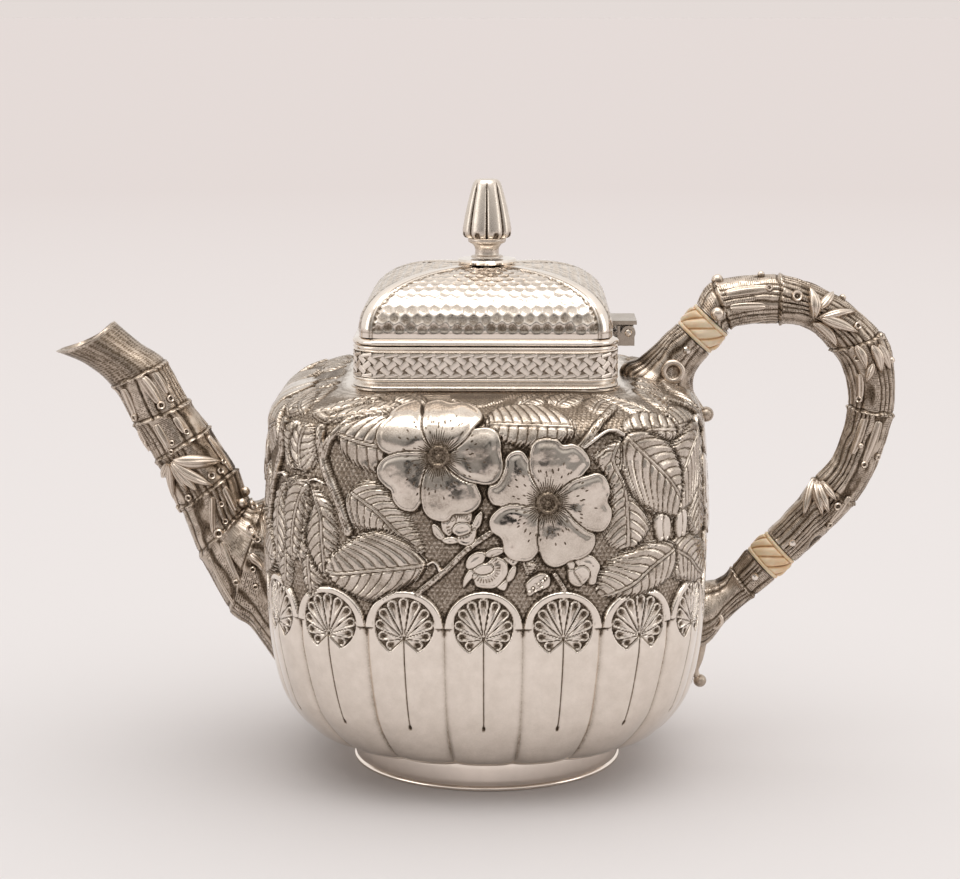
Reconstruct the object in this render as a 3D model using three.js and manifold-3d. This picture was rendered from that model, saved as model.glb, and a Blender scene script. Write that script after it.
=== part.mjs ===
// A silver teapot with a square lobed body, a hinged hammered lid, a bamboo spout and a bamboo
// handle that two ivory rings keep cool.
// Millimetres, +Z up. The body's axis is vertical, the spout points to -X and the handle to +X.
// The origin is on the table, in the middle of the teapot's overall length.

import * as THREE from 'three';
import { mergeVertices } from 'three/addons/utils/BufferGeometryUtils.js';
import Module from 'manifold-3d';

const wasm = await Module();
wasm.setup();

// Driving dimensions
const bellyHalfWidth = 60.8;      // middle of the body to the middle of a side, above the lobes
const bodyHeight = 103.4;         // from the body's underside to its top edge
const footHeight = 8.3;
const footRadius = 38.5;
const spoutReach = 61.3;          // how far the spout's lip stands out from the belly
const handleReach = 54.3;         // how far the handle stands out from the belly
const seamGap = 0.3;              // clearance between pieces that touch
const cutOverrun = 2;             // how far a cutter runs past what it cuts

// Body
const bodyWall = 1.2;
const shoulderWidth = 27.4;       // from the mouth's edge out to the belly, seen from the front
const seatWidth = 2.6;            // flat top between the mouth's edge and the shoulder
const lobesPerSide = 5;
const lobeColumns = 4;            // facets across one lobe
const lobeProud = 0.9;            // how far a lobe stands out of the ground
const lobeGroove = 0.35;          // how deep the groove between two lobes is
const archSpring = 43.4;          // height of the arches' springing over the body's underside
const archEdge = 0.4;             // height of the step at the top of an arch
const archBlend = 3.2;            // height over which the arches fade into level rows
const flowerRadius = 15.5;        // from a chased flower's middle to the tip of a petal
const flowerProud = 1.6;
const leafProud = 1.2;            // how proud the chased leaves are
const chasingSink = 0.8;          // how deep a chased flower or leaf starts in the skin
const socketStrip = 9;            // half width beside the upper socket that stays plain
const cavityColumns = 24;

// Collar, and the mouth in it
const collarCorner = 8;           // outer corner radius of the collar
const cornerSteps = 3;            // facets round a corner of the collar and lid
const collarWallThickness = 1.5;
const collarHeight = 11.2;        // from the body's top edge to the split below the lid
const collarRimHeight = 1.7;
const collarRimProud = 1.2;
const bandHeight = 6.3;
const bandProud = 0.75;
const wireRadius = 0.45;

// Foot
const footWall = 1.3;
const footLip = 0.9;              // rounded lip that the teapot stands on
const footDraft = 0.7;            // how much the foot narrows towards the body

// Lid
const lidSplit = 0.3;             // dark line between the collar and the lid
const lidRimHeight = 1.5;
const lidRimProud = 1.4;
const lidRimInset = 3.2;
const lidWall = 1.0;
const lidRise = 16.6;             // from the top of the rim to the crown of the dome
const bezelDepth = 3.8;
const bezelWall = 1.0;
const bezelClearance = 0.45;      // between the bezel and the collar

// Finial
const finialHeight = 22.2;        // from the top of its disc to the tip of the bud
const budRadius = 7;
const budFlutes = 8;
const fluteDepthShare = 0.1;
const discRadius = 8.4;
const discThickness = 1.2;
const studRadius = 1.9;
const nutHeight = 2.4;
const nutRadius = 4.2;
const studReach = 4.6;            // how far the stud reaches below the dome's inner face

// Hinge
const hingeLength = 17;
const knuckleRadius = 2;
const hingePinRadius = 0.8;
const middleKnuckleLength = 8;
const hingePlateThickness = 1.1;
const hingeDrop = 3.6;            // how far the body leaf reaches below the pin
const hingeBackThickness = 0.8;
const pinHeadRadius = 1.1;
const pinHeadHeight = 0.6;

// Spout
const spoutWall = 1.2;
const rootKnobRadius = 2.6;       // berry in the crook where the spout leaves the body
const mouthDip = 1.4;             // how far the lip dips at its sides
const strainerRadius = 11.5;
const strainerThickness = 1;
const strainerHoleRadius = 1.5;
const strainerPitch = 5;
const strainerHeight = 44;        // its centre over the body's underside

// Handle
const gripDepthShare = 1;         // thickness across the handle over its thickness in side view
const insulatorLength = 7.5;
const upperInsulatorRadius = 6.3;
const lowerInsulatorRadius = 5.9;
const upperJointAngle = THREE.MathUtils.degToRad(46.9);
const lowerJointAngle = THREE.MathUtils.degToRad(43.3);
const gadroonProud = 0.55;
const gadroonLobes = 9;
const insulatorCollar = 1.1;      // length of the plain collar at each end of an ivory ring
const tenonRadius = 3.4;
const tenonLength = 6.5;
const crossPinRadius = 0.75;
const crossPinOffset = 7.2;       // from the middle of an ivory ring to a cross pin
const nodeRidge = 0.55;           // how proud a bamboo joint ring is
const stemWaist = 0.25;           // how much the bamboo narrows between two joint rings
const barkRib = 0.16;             // how proud the ribs along the bamboo are
const ballRadius = 2.2;
const eyeletRadius = 3.5;
const eyeletHoleRadius = 1.7;
const eyeletHeight = 0.9;

// Leaf sprays
const leafHalfWidth = 1.6;
const leafSlimShare = 0.16;       // half width of a short leaf over its length
const leafThickness = 0.9;
const leafEdge = 0.35;
const leafLift = 0.75;            // from the bare tube to the underside of a leaf
const berryRadius = 1.1;

// Worked out heights and widths
const mouthHalf = bellyHalfWidth - shoulderWidth;
const bodySeatHalf = mouthHalf + seatWidth;
const bodyBottom = footHeight + seamGap;
const bodyTop = bodyBottom + bodyHeight;
const collarBottom = bodyTop + seamGap;
const splitHeight = bodyTop + collarHeight;
const collarOuterHalf = mouthHalf + collarWallThickness;
const rimOuterHalf = collarOuterHalf + collarRimProud;
const lidRimBottom = splitHeight + lidSplit;
const lidRimTop = lidRimBottom + lidRimHeight;
const domeBottom = lidRimTop + seamGap;
const domeHalf = rimOuterHalf - lidRimProud - seamGap;
const discBottom = domeBottom + lidRise + seamGap;
const discTop = discBottom + discThickness;
const lobeCount = 4 * lobesPerSide;
const girthShare = 6.85;          // the belly's girth over its half width
const lobePitch = bellyHalfWidth * girthShare / lobeCount;
const axisX = (spoutReach - handleReach) / 2;

// Finishes
const silver = new THREE.MeshStandardMaterial({ color: 0xc9c3b8, roughness: 0.28, metalness: 1 });
const oxidised = new THREE.MeshStandardMaterial({ color: 0x8d8578, roughness: 0.45, metalness: 1 });
const polished = new THREE.MeshStandardMaterial({ color: 0xd8d4cc, roughness: 0.12, metalness: 1 });
const ivory = new THREE.MeshStandardMaterial({ color: 0xe3cfa4, roughness: 0.4, metalness: 0 });

// Solids from closed meshes, and back
function toSolid(geometry) {
  const bare = geometry.clone();
  bare.deleteAttribute('normal');
  bare.deleteAttribute('uv');
  const merged = mergeVertices(bare);
  const vertProperties = new Float32Array(merged.attributes.position.array);
  const triVerts = new Uint32Array(merged.index.array);
  return new wasm.Manifold(new wasm.Mesh({ numProp: 3, vertProperties, triVerts }));
}

function toGeometry(solid) {
  const mesh = solid.getMesh();
  const geometry = new THREE.BufferGeometry();
  const position = new THREE.BufferAttribute(new Float32Array(mesh.vertProperties), 3);
  geometry.setAttribute('position', position);
  geometry.setIndex(new THREE.BufferAttribute(new Uint32Array(mesh.triVerts), 1));
  geometry.computeVertexNormals();
  return geometry;
}

function join(parts) {
  return parts.reduce((whole, part) => whole.add(part));
}

function cut(solid, cutters) {
  return cutters.reduce((rest, cutter) => rest.subtract(cutter), solid);
}

// A closed skin over rings with equal numbers of points. The rings run along the direction from
// which their points are seen to turn counterclockwise.
function loft(rings, looped = false) {
  const count = rings[0].length;
  const points = rings.flat();
  const faces = [];
  const steps = looped ? rings.length : rings.length - 1;
  for (let row = 0; row < steps; row++) {
    const here = row * count;
    const next = ((row + 1) % rings.length) * count;
    for (let i = 0; i < count; i++) {
      const j = (i + 1) % count;
      faces.push(here + i, here + j, next + j);
      faces.push(here + i, next + j, next + i);
    }
  }
  if (!looped) {
    const last = (rings.length - 1) * count;
    const startCentre = points.length;
    points.push(middleOf(rings[0]));
    points.push(middleOf(rings[rings.length - 1]));
    for (let i = 0; i < count; i++) {
      const j = (i + 1) % count;
      faces.push(startCentre, j, i);
      faces.push(startCentre + 1, last + i, last + j);
    }
  }
  const geometry = new THREE.BufferGeometry().setFromPoints(points);
  geometry.setIndex(faces);
  geometry.computeVertexNormals();
  return geometry;
}

function middleOf(ring) {
  const sum = ring.reduce((total, point) => total.add(point), new THREE.Vector3());
  return sum.divideScalar(ring.length);
}

// A turned solid about +Z from [radius, height] points that go up on the outside
function turned(profile, segments) {
  const points = profile.map(([radius, height]) => new THREE.Vector2(radius, height));
  return new THREE.LatheGeometry(points, segments).rotateX(Math.PI / 2);
}

// A plain bar about +Z from one height to another
function bar(radius, low, high, segments) {
  return turned([[0, low], [radius, low], [radius, high], [0, high]], segments);
}

// A level ring with the plan of a square with rounded corners
function squareRing([half, corner, height]) {
  const steps = cornerSteps;
  const ring = [];
  for (let side = 0; side < 4; side++) {
    const quarter = side * Math.PI / 2;
    const middle = new THREE.Vector2(half - corner, half - corner);
    middle.rotateAround(new THREE.Vector2(), quarter);
    for (let step = 0; step <= steps; step++) {
      const angle = quarter + (step / steps) * Math.PI / 2;
      const x = middle.x + corner * Math.cos(angle);
      const y = middle.y + corner * Math.sin(angle);
      ring.push(new THREE.Vector3(x, y, height));
    }
  }
  return ring;
}

// A moulding that runs round the square, from [half width, corner radius, height] points
function squareMoulding(profile) {
  return loft(profile.map(squareRing), true);
}

// The body's side seen from the front, as shares of the belly's half width and the body's height
const sideShares = [
  [0.757, 0.0165], [0.859, 0.062], [0.947, 0.1625], [0.99, 0.32], [1, 0.5],
  [0.997, 0.69], [0.978, 0.845], [0.938, 0.934], [0.762, 0.9787],
];
const sidePoints = [
  new THREE.Vector2(footRadius, bodyBottom),
  ...sideShares.map(([x, z]) => new THREE.Vector2(x * bellyHalfWidth, bodyBottom + z * bodyHeight)),
  new THREE.Vector2(bodySeatHalf, bodyTop),
];
const sideCurve = new THREE.SplineCurve(sidePoints);
const sideTable = sideCurve.getPoints(240);

// How square the plan is at each share of the body's height: 2 is a circle
const planPowerShares = [
  [0, 2.05], [0.16, 2.8], [0.35, 3.3], [0.85, 3.5], [0.94, 4], [0.98, 5.5], [1, 7.5],
];

function planPower(height) {
  const share = THREE.MathUtils.clamp((height - bodyBottom) / bodyHeight, 0, 1);
  const upper = Math.max(1, planPowerShares.findIndex(([place]) => place >= share));
  const [lowPlace, lowPower] = planPowerShares[upper - 1];
  const [highPlace, highPower] = planPowerShares[upper];
  return THREE.MathUtils.mapLinear(share, lowPlace, highPlace, lowPower, highPower);
}

// The side's point at a height, moved out along the side's own normal
function sideAt(height, outward) {
  const found = sideTable.findIndex((point) => point.y >= height);
  const upper = found < 1 ? (found === 0 ? 1 : sideTable.length - 1) : found;
  const low = sideTable[upper - 1];
  const high = sideTable[upper];
  const share = THREE.MathUtils.clamp((height - low.y) / (high.y - low.y), 0, 1);
  const along = high.clone().sub(low).normalize();
  const point = low.clone().lerp(high, share);
  return new THREE.Vector2(point.x + along.y * outward, point.y - along.x * outward);
}

function planPoint(half, angle, power, height) {
  const sum = Math.abs(Math.cos(angle)) ** power + Math.abs(Math.sin(angle)) ** power;
  const radius = half / sum ** (1 / power);
  return new THREE.Vector3(radius * Math.cos(angle), radius * Math.sin(angle), height);
}

// Angles that part the belly's plan into equal lengths, from one corner round
function evenAngles(count) {
  const power = planPower(bodyBottom + archSpring);
  const steps = 1440;
  const lengths = [0];
  const start = -3 * Math.PI / 4;
  let last = planPoint(1, start, power, 0);
  for (let step = 1; step <= steps; step++) {
    const point = planPoint(1, start + (step / steps) * 2 * Math.PI, power, 0);
    lengths.push(lengths[step - 1] + point.distanceTo(last));
    last = point;
  }
  const angles = [];
  let step = 0;
  for (let i = 0; i < count; i++) {
    const target = (i / count) * lengths[steps];
    while (lengths[step + 1] < target) step++;
    const part = (target - lengths[step]) / (lengths[step + 1] - lengths[step]);
    angles.push(start + ((step + part) / steps) * 2 * Math.PI);
  }
  return angles;
}

const lobeRowShares = [0.05, 0.17, 0.5];
const archRowShares = [0, 1];
const upperRowShares = [0, 0.42, 0.7, 0.86, 0.95, 1];

// The heights and reliefs of one column of the body's skin, by its place across a lobe: 0 is the
// middle of the lobe, 1 and -1 the grooves beside it
function skinColumn(place) {
  const archRise = lobePitch / 2;
  const spring = bodyBottom + archSpring;
  const arch = spring + archRise * Math.sqrt(1 - place * place);
  const relief = lobeProud * (1 - Math.abs(place) ** 3) - lobeGroove * Math.abs(place) ** 6;
  const belowArch = spring - 3 * archEdge;
  const blendTop = spring + archRise + archBlend;
  const rows = [[bodyBottom, 0]];
  for (const share of lobeRowShares) {
    rows.push([bodyBottom + share * (belowArch - bodyBottom), relief * Math.min(1, 0.4 + 3 * share)]);
  }
  for (const share of archRowShares) {
    rows.push([belowArch + share * (arch - archEdge - belowArch), relief]);
  }
  rows.push([arch, 0]);
  for (const share of upperRowShares) {
    rows.push([blendTop + share * (bodyTop - blendTop), 0]);
  }
  return rows;
}

// The columns that go on above the arches, close together only at the corners of the plan
const upperColumnShares = [0, 0.1, 0.2, 0.4, 0.6, 1];

function goesOn(column) {
  const perSide = lobesPerSide * lobeColumns;
  const onSide = column % perSide;
  const fromCorner = Math.min(onSide, perSide - onSide);
  return upperColumnShares.some((share) => Math.round(share * perSide / 2) === fromCorner);
}

// The faces between two rings whose points are numbered and know their columns. The upper ring
// may leave out some of the lower one's columns
function strip(lower, upper) {
  const faces = [];
  upper.forEach((above, k) => {
    const next = upper[(k + 1) % upper.length];
    let i = lower.findIndex((below) => below.column === above.column);
    do {
      const j = (i + 1) % lower.length;
      faces.push(lower[i].number, lower[j].number, above.number);
      i = j;
    } while (lower[i].column !== next.column);
    faces.push(lower[i].number, next.number, above.number);
  });
  return faces;
}

// A closed skin over columns of points, some of which stop below the row given
function thinnedLoft(columns, firstThinRow) {
  const points = [];
  const rings = columns[0].map((unused, row) => {
    const kept = columns.map((column, i) => ({ column: i, point: column[row] }));
    const ring = row < firstThinRow ? kept : kept.filter(({ column }) => goesOn(column));
    return ring.map(({ column, point }) => ({ column, number: points.push(point) - 1 }));
  });
  const faces = rings.slice(1).flatMap((ring, row) => strip(rings[row], ring));
  const ends = [rings[0].slice().reverse(), rings[rings.length - 1]];
  for (const ring of ends) {
    const centre = points.push(middleOf(ring.map(({ number }) => points[number]))) - 1;
    ring.forEach(({ number }, i) => {
      faces.push(centre, number, ring[(i + 1) % ring.length].number);
    });
  }
  const geometry = new THREE.BufferGeometry().setFromPoints(points);
  geometry.setIndex(faces);
  geometry.computeVertexNormals();
  return geometry;
}

// The outer skin as a solid without its cavity, grown by a clearance where it cuts a neighbour
function bodyBlock(grown) {
  const angles = evenAngles(lobeCount * lobeColumns);
  const columns = angles.map((angle, i) => {
    const place = ((i % lobeColumns) / lobeColumns) * 2 - 1;
    return skinColumn(place).map(([height, relief]) => {
      const point = sideAt(height, relief + grown);
      return planPoint(point.x, angle, planPower(height), point.y);
    });
  });
  return toSolid(thinnedLoft(columns, columns[0].length - upperRowShares.length + 1));
}

// Chased flowers by their middles, across as a share of a side's half width and up as a share of
// the way up the side, and leaves by their middles, half lengths, half widths and tilts likewise
const flowerShares = [{ across: -0.229, up: 0.745 }, { across: 0.319, up: 0.655 }];
const chasedLeafShares = [
  { across: -0.68, up: 0.775, length: 0.18, width: 0.14, tilt: -10 },
  { across: -0.5, up: 0.53, length: 0.27, width: 0.14, tilt: 4 },
  { across: 0.3, up: 0.83, length: 0.23, width: 0.12, tilt: 0 },
  { across: 0.82, up: 0.69, length: 0.25, width: 0.16, tilt: -65 },
  { across: 0.76, up: 0.525, length: 0.25, width: 0.12, tilt: 25 },
];
const flowerPetals = 5;
const halfSide = lobePitch * lobesPerSide / 2;
const skinSteps = 1440;
const skinAngles = evenAngles(skinSteps);
const sideRun = sideCurve.getLength();

// A point by the body's skin, from the side it is on, how far it is across from that side's
// middle, how far up the side's own line, and how far out from the skin
function skinPoint(side, across, up, lift) {
  const share = THREE.MathUtils.clamp(up / sideRun, 0, 1);
  const point = sideCurve.getPointAt(share);
  const along = sideCurve.getTangentAt(share);
  const around = (side + (1 + across / halfSide) / 2) / 4;
  const angle = skinAngles[Math.round(around * skinSteps) % skinSteps];
  const height = point.y - along.x * lift;
  return planPoint(point.x + along.y * lift, angle, planPower(height), height);
}

// A low boss on the skin, lofted from rings of [across, up, lift] points round a spot. The short
// sides carry the mirror image of the front and the back
function chased(side, spot, rings) {
  const mirrored = side % 2 === 1;
  const laid = rings.map((ring) => {
    const points = ring.map(([x, y, lift]) => {
      const across = spot.across * halfSide + x;
      return skinPoint(side, mirrored ? -across : across, spot.up * sideRun + y, lift);
    });
    return mirrored ? points.reverse() : points;
  });
  return toSolid(loft(laid));
}

// Rings of a flower: how far out they are at a petal and at the gap beside it, as shares of its
// radius, and how proud they are there
const flowerRingShares = [
  { petal: 0.92, gap: 0.66, petalLift: -chasingSink, gapLift: -chasingSink },
  { petal: 1, gap: 0.7, petalLift: 0.5 * flowerProud, gapLift: 0.2 * flowerProud },
  { petal: 0.7, gap: 0.5, petalLift: flowerProud, gapLift: 0.5 * flowerProud },
  { petal: 0.24, gap: 0.2, petalLift: 0.4 * flowerProud, gapLift: 0.4 * flowerProud },
];
const petalHalfAngle = 0.29 * 2 * Math.PI / flowerPetals;

function chasedFlower(side, spot) {
  const rings = flowerRingShares.map(({ petal, gap, petalLift, gapLift }) => {
    const ring = [];
    for (let i = 0; i < flowerPetals; i++) {
      const middle = (i / flowerPetals) * 2 * Math.PI;
      const corners = [
        [petal, middle - petalHalfAngle, petalLift],
        [petal, middle + petalHalfAngle, petalLift],
        [gap, middle + Math.PI / flowerPetals, gapLift],
      ];
      for (const [share, angle, lift] of corners) {
        const reach = share * flowerRadius;
        ring.push([reach * Math.cos(angle), reach * Math.sin(angle), lift]);
      }
    }
    return ring;
  });
  return chased(side, spot, rings);
}

// A leaf's outline from its stalk round its tip, as shares of its half length and half width
const leafOutlineShares = [[-1, 0], [-0.35, -1], [0.45, -0.75], [1, 0], [0.45, 0.75], [-0.35, 1]];

function chasedLeaf(side, leaf) {
  const tilt = THREE.MathUtils.degToRad(leaf.tilt);
  const levels = [[0.94, 0.94, -chasingSink], [1, 1, 0.5 * leafProud], [0.6, 0.15, leafProud]];
  const rings = levels.map(([longShare, wideShare, lift]) => leafOutlineShares.map(([x, y]) => {
    const point = new THREE.Vector2(x * longShare * leaf.length, y * wideShare * leaf.width);
    point.multiplyScalar(halfSide).rotateAround(new THREE.Vector2(), tilt);
    return [point.x, point.y, lift];
  }));
  return chased(side, leaf, rings);
}

// All the chasing, clear of the spout and of the upper socket
function chasing() {
  const bosses = [];
  for (let side = 0; side < 4; side++) {
    bosses.push(...flowerShares.map((spot) => chasedFlower(side, spot)));
    bosses.push(...chasedLeafShares.map((leaf) => chasedLeaf(side, leaf)));
  }
  const grownSpout = tube(spoutPairs(-seamGap), spoutSides);
  const strip = new THREE.BoxGeometry(bellyHalfWidth, 2 * socketStrip, bodyHeight);
  strip.translate(bellyHalfWidth, 0, bodyBottom + bodyHeight / 2);
  return cut(join(bosses), [toSolid(loft(bambooRings(grownSpout))), toSolid(strip)]);
}

function bodyCavity() {
  const angles = evenAngles(cavityColumns);
  const heightShares = [0, 0.03, 0.1, 0.24, 0.5, 0.8, 0.92, 0.97, 1];
  const rings = heightShares.map((share) => {
    const height = bodyBottom + share * bodyHeight;
    const point = sideAt(height, -bodyWall);
    return angles.map((angle) => planPoint(point.x, angle, planPower(height), point.y));
  });
  return toSolid(loft(rings));
}

function mouthCutter() {
  const low = [mouthHalf, collarCorner - collarWallThickness, bodyTop - bodyWall - cutOverrun];
  const high = [mouthHalf, collarCorner - collarWallThickness, bodyTop + cutOverrun];
  return toSolid(loft([squareRing(low), squareRing(high)]));
}

const strainerLevel = bodyBottom + strainerHeight;

function spoutHoleCutter() {
  const reach = bellyHalfWidth + lobeProud + cutOverrun;
  const hole = bar(strainerRadius + seamGap, bellyHalfWidth / 2, reach, 24);
  return toSolid(hole.rotateY(-Math.PI / 2).translate(0, 0, strainerLevel));
}

function bodyShell() {
  const cutters = [bodyCavity(), mouthCutter(), spoutHoleCutter()];
  return toGeometry(cut(bodyBlock(0).add(chasing()), cutters));
}

function footRing() {
  const inner = footRadius - footDraft - footWall;
  const top = footRadius - footDraft;
  const outer = footRadius;
  return turned([
    [inner + footDraft, 0],
    [outer - footLip / 3, 0],
    [outer, footLip / 3],
    [outer, footLip],
    [outer - footLip / 2, footLip * 1.5],
    [top, footHeight],
    [inner, footHeight],
    [inner + footDraft, 0],
  ], 32);
}

// Collar: wall, woven band, wire below it and moulded rim above it
const collarRimBottom = splitHeight - collarRimHeight;
const bandTop = collarRimBottom - seamGap;
const bandBottom = bandTop - bandHeight;
const wireLevel = bandBottom - seamGap - wireRadius;
const ringSeat = collarOuterHalf + seamGap;

function collarWall() {
  const inner = collarCorner - collarWallThickness;
  return squareMoulding([
    [mouthHalf, inner, collarBottom],
    [collarOuterHalf, collarCorner, collarBottom],
    [collarOuterHalf, collarCorner, collarRimBottom - seamGap],
    [mouthHalf, inner, collarRimBottom - seamGap],
  ]);
}

function collarBand() {
  const face = ringSeat + bandProud;
  const bevel = bandProud / 3;
  return squareMoulding([
    [ringSeat, collarCorner, bandBottom],
    [face - bevel, collarCorner, bandBottom],
    [face, collarCorner, bandBottom + bevel],
    [face, collarCorner, bandTop - bevel],
    [face - bevel, collarCorner, bandTop],
    [ringSeat, collarCorner, bandTop],
  ]);
}

function collarWire() {
  const profile = [];
  const sides = 6;
  for (let side = 0; side < sides; side++) {
    const angle = (side / sides) * 2 * Math.PI;
    const half = ringSeat + wireRadius + wireRadius * Math.cos(angle);
    profile.push([half, collarCorner, wireLevel + wireRadius * Math.sin(angle)]);
  }
  return squareMoulding(profile);
}

// A half-round moulding between an inner wall and a rounded face
function roundedMoulding(innerHalf, outerHalf, bottom, height) {
  const innerCorner = collarCorner - (collarOuterHalf - innerHalf);
  const outerCorner = collarCorner + (outerHalf - collarOuterHalf);
  const roundness = height / 2;
  const profile = [[innerHalf, Math.max(innerCorner, roundness), bottom]];
  for (const share of [0, 0.3, 0.7, 1]) {
    const angle = (share - 0.5) * Math.PI;
    const half = outerHalf - roundness + roundness * Math.cos(angle);
    profile.push([half, outerCorner, bottom + roundness + roundness * Math.sin(angle)]);
  }
  profile.push([innerHalf, Math.max(innerCorner, roundness), bottom + height]);
  return squareMoulding(profile);
}

function collarRim() {
  return roundedMoulding(mouthHalf, rimOuterHalf, collarRimBottom, collarRimHeight);
}

// Lid: rim, bezel that drops into the mouth, and a dome of four panels that meet in ridges
function lidRim() {
  return roundedMoulding(mouthHalf - lidRimInset / 2, rimOuterHalf, lidRimBottom, lidRimHeight);
}

function lidBezel() {
  const outer = mouthHalf - bezelClearance;
  const inner = outer - bezelWall;
  const corner = collarCorner - collarWallThickness - bezelClearance;
  const bottom = splitHeight - bezelDepth;
  const chamfer = bezelWall / 3;
  return squareMoulding([
    [inner, corner - bezelWall, bottom],
    [outer - chamfer, corner, bottom],
    [outer, corner, bottom + chamfer],
    [outer, corner, splitHeight],
    [inner, corner - bezelWall, splitHeight],
  ]);
}

const domePower = 2.7;
const domeCornerShare = 0.2;
const domeHoleRadius = studRadius + seamGap;

function domeProfile(half, rise, angles) {
  return angles.map((degrees) => {
    const angle = THREE.MathUtils.degToRad(degrees);
    const across = half * Math.cos(angle) ** (2 / domePower);
    const up = rise * Math.sin(angle) ** (2 / domePower);
    return [across, across * domeCornerShare, domeBottom + up];
  });
}

function lidDome() {
  const outer = domeProfile(domeHalf, lidRise, [0, 11, 26, 42, 57, 70, 79]);
  const inner = domeProfile(domeHalf - lidWall, lidRise - lidWall, [76, 50, 22, 0]);
  const crown = domeBottom + lidRise;
  return squareMoulding([
    ...outer,
    [discRadius, discRadius, crown],
    [domeHoleRadius, domeHoleRadius, crown],
    [domeHoleRadius, domeHoleRadius, crown - lidWall],
    [nutRadius, nutRadius, crown - lidWall],
    ...inner,
  ]);
}

// Finial: a fluted bud on a turned neck, with a stud through the dome
const budShares = [
  [0.28, 0], [0.44, 0.02], [0.62, 0.14], [0.8, 0.42], [0.95, 0.72], [1, 0.9], [0.93, 0.98],
  [0.74, 1],
];
const budLengthShare = 0.74;

function finial() {
  const perFlute = 3;
  const count = budFlutes * perFlute;
  const tip = discTop + finialHeight;
  const budLength = finialHeight * budLengthShare;
  const neckHeight = finialHeight - budLength - seamGap;
  const neck = discTop + seamGap;
  const ring = (radius, height, depthShare) => {
    const points = [];
    for (let i = 0; i < count; i++) {
      const angle = ((i + perFlute / 2) / count) * 2 * Math.PI;
      const across = ((i % perFlute) / perFlute) * 2 - 1;
      const fluted = radius * (1 - depthShare * across ** 4);
      points.push(new THREE.Vector3(fluted * Math.cos(angle), fluted * Math.sin(angle), height));
    }
    return points;
  };
  const neckShares = [[0.56, 0], [0.49, 0.16], [0.52, 0.6], [0.73, 0.82], [0.73, 0.98]];
  const nutLevel = domeBottom + lidRise - lidWall;
  const rings = [
    ring(studRadius, nutLevel - studReach, 0),
    ring(studRadius, neck, 0),
    ...neckShares.map(([across, up]) => ring(across * budRadius, neck + up * neckHeight, 0)),
    ...budShares.toReversed().map(([across, down]) => {
      return ring(across * budRadius, tip - down * budLength, fluteDepthShare);
    }),
  ];
  return loft(rings);
}

function finialDisc() {
  const edge = discThickness / 3;
  return turned([
    [domeHoleRadius, discBottom],
    [discRadius - edge, discBottom],
    [discRadius, discBottom + discThickness / 2],
    [discRadius - edge, discTop],
    [domeHoleRadius, discTop],
    [domeHoleRadius, discBottom],
  ], 24);
}

function finialNut() {
  const top = domeBottom + lidRise - lidWall - seamGap;
  const nut = bar(nutRadius, top - nutHeight, top, 6);
  const bore = bar(studRadius + seamGap, top - nutHeight - cutOverrun, top + cutOverrun, 16);
  return toGeometry(cut(toSolid(nut), [toSolid(bore)]));
}

// Hinge: its pin lies at the split, just outside the collar's rim
const pinX = rimOuterHalf + seamGap + hingeBackThickness + seamGap + knuckleRadius;
const pinZ = lidRimBottom;

// A block along Y from a side view given as [x, z] corners from the pin
function hingeBlock(corners, length) {
  const outline = new THREE.Shape(corners.map(([x, z]) => new THREE.Vector2(x, z)));
  const block = new THREE.ExtrudeGeometry(outline, { depth: length, bevelEnabled: false });
  return toSolid(block.translate(0, 0, -length / 2).rotateX(Math.PI / 2));
}

function knuckle(radius, length) {
  return toSolid(bar(radius, -length / 2, length / 2, 14).rotateX(Math.PI / 2));
}

const hingeInner = rimOuterHalf + seamGap - pinX;
const plateUnderside = knuckleRadius + seamGap;

function hingeBodyLeaf() {
  const outer = knuckleRadius - seamGap;
  const back = hingeInner + hingeBackThickness;
  const whole = join([
    knuckle(knuckleRadius, hingeLength),
    hingeBlock([[hingeInner, -hingeDrop], [outer, -hingeDrop], [outer, 0], [hingeInner, 0]], hingeLength),
    hingeBlock([[hingeInner, -hingeDrop], [back, -hingeDrop], [back, knuckleRadius],
      [hingeInner, knuckleRadius]], hingeLength),
  ]);
  const slot = middleKnuckleLength + 2 * seamGap;
  const floor = -knuckleRadius - 2 * seamGap;
  const clearOfPin = cutOverrun + knuckleRadius;
  return toGeometry(cut(whole, [
    hingeBlock([[back, floor], [clearOfPin, floor], [clearOfPin, clearOfPin], [back, clearOfPin]], slot),
    knuckle(hingePinRadius + seamGap, hingeLength + cutOverrun),
  ]));
}

function hingeLidLeaf() {
  const inner = domeHalf + seamGap - pinX;
  const overRim = lidRimTop + seamGap - pinZ;
  const onRim = rimOuterHalf - pinX;
  const top = plateUnderside + hingePlateThickness;
  const outer = knuckleRadius + seamGap;
  const web = knuckleRadius * 0.8;
  const whole = join([
    hingeBlock([[inner, plateUnderside], [outer, plateUnderside], [outer, top], [inner, top]], hingeLength),
    hingeBlock([[inner, overRim], [onRim, overRim], [onRim, top], [inner, top]], hingeLength),
    hingeBlock([[-web, 0], [web, 0], [web, top], [-web, top]], middleKnuckleLength),
    knuckle(knuckleRadius, middleKnuckleLength),
  ]);
  return toGeometry(cut(whole, [knuckle(hingePinRadius + seamGap, hingeLength)]));
}

// A pin about +Z with a domed head at each end, its shaft of the given length between the heads
function headedPin(shaftRadius, headRadius, headHeight, length) {
  const half = length / 2;
  const shoulder = [headRadius * 0.72, half + headHeight * 0.7];
  return turned([
    [0, -half - headHeight],
    [shoulder[0], -shoulder[1]],
    [headRadius, -half],
    [shaftRadius, -half],
    [shaftRadius, half],
    [headRadius, half],
    shoulder,
    [0, half + headHeight],
  ], 8);
}

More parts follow.
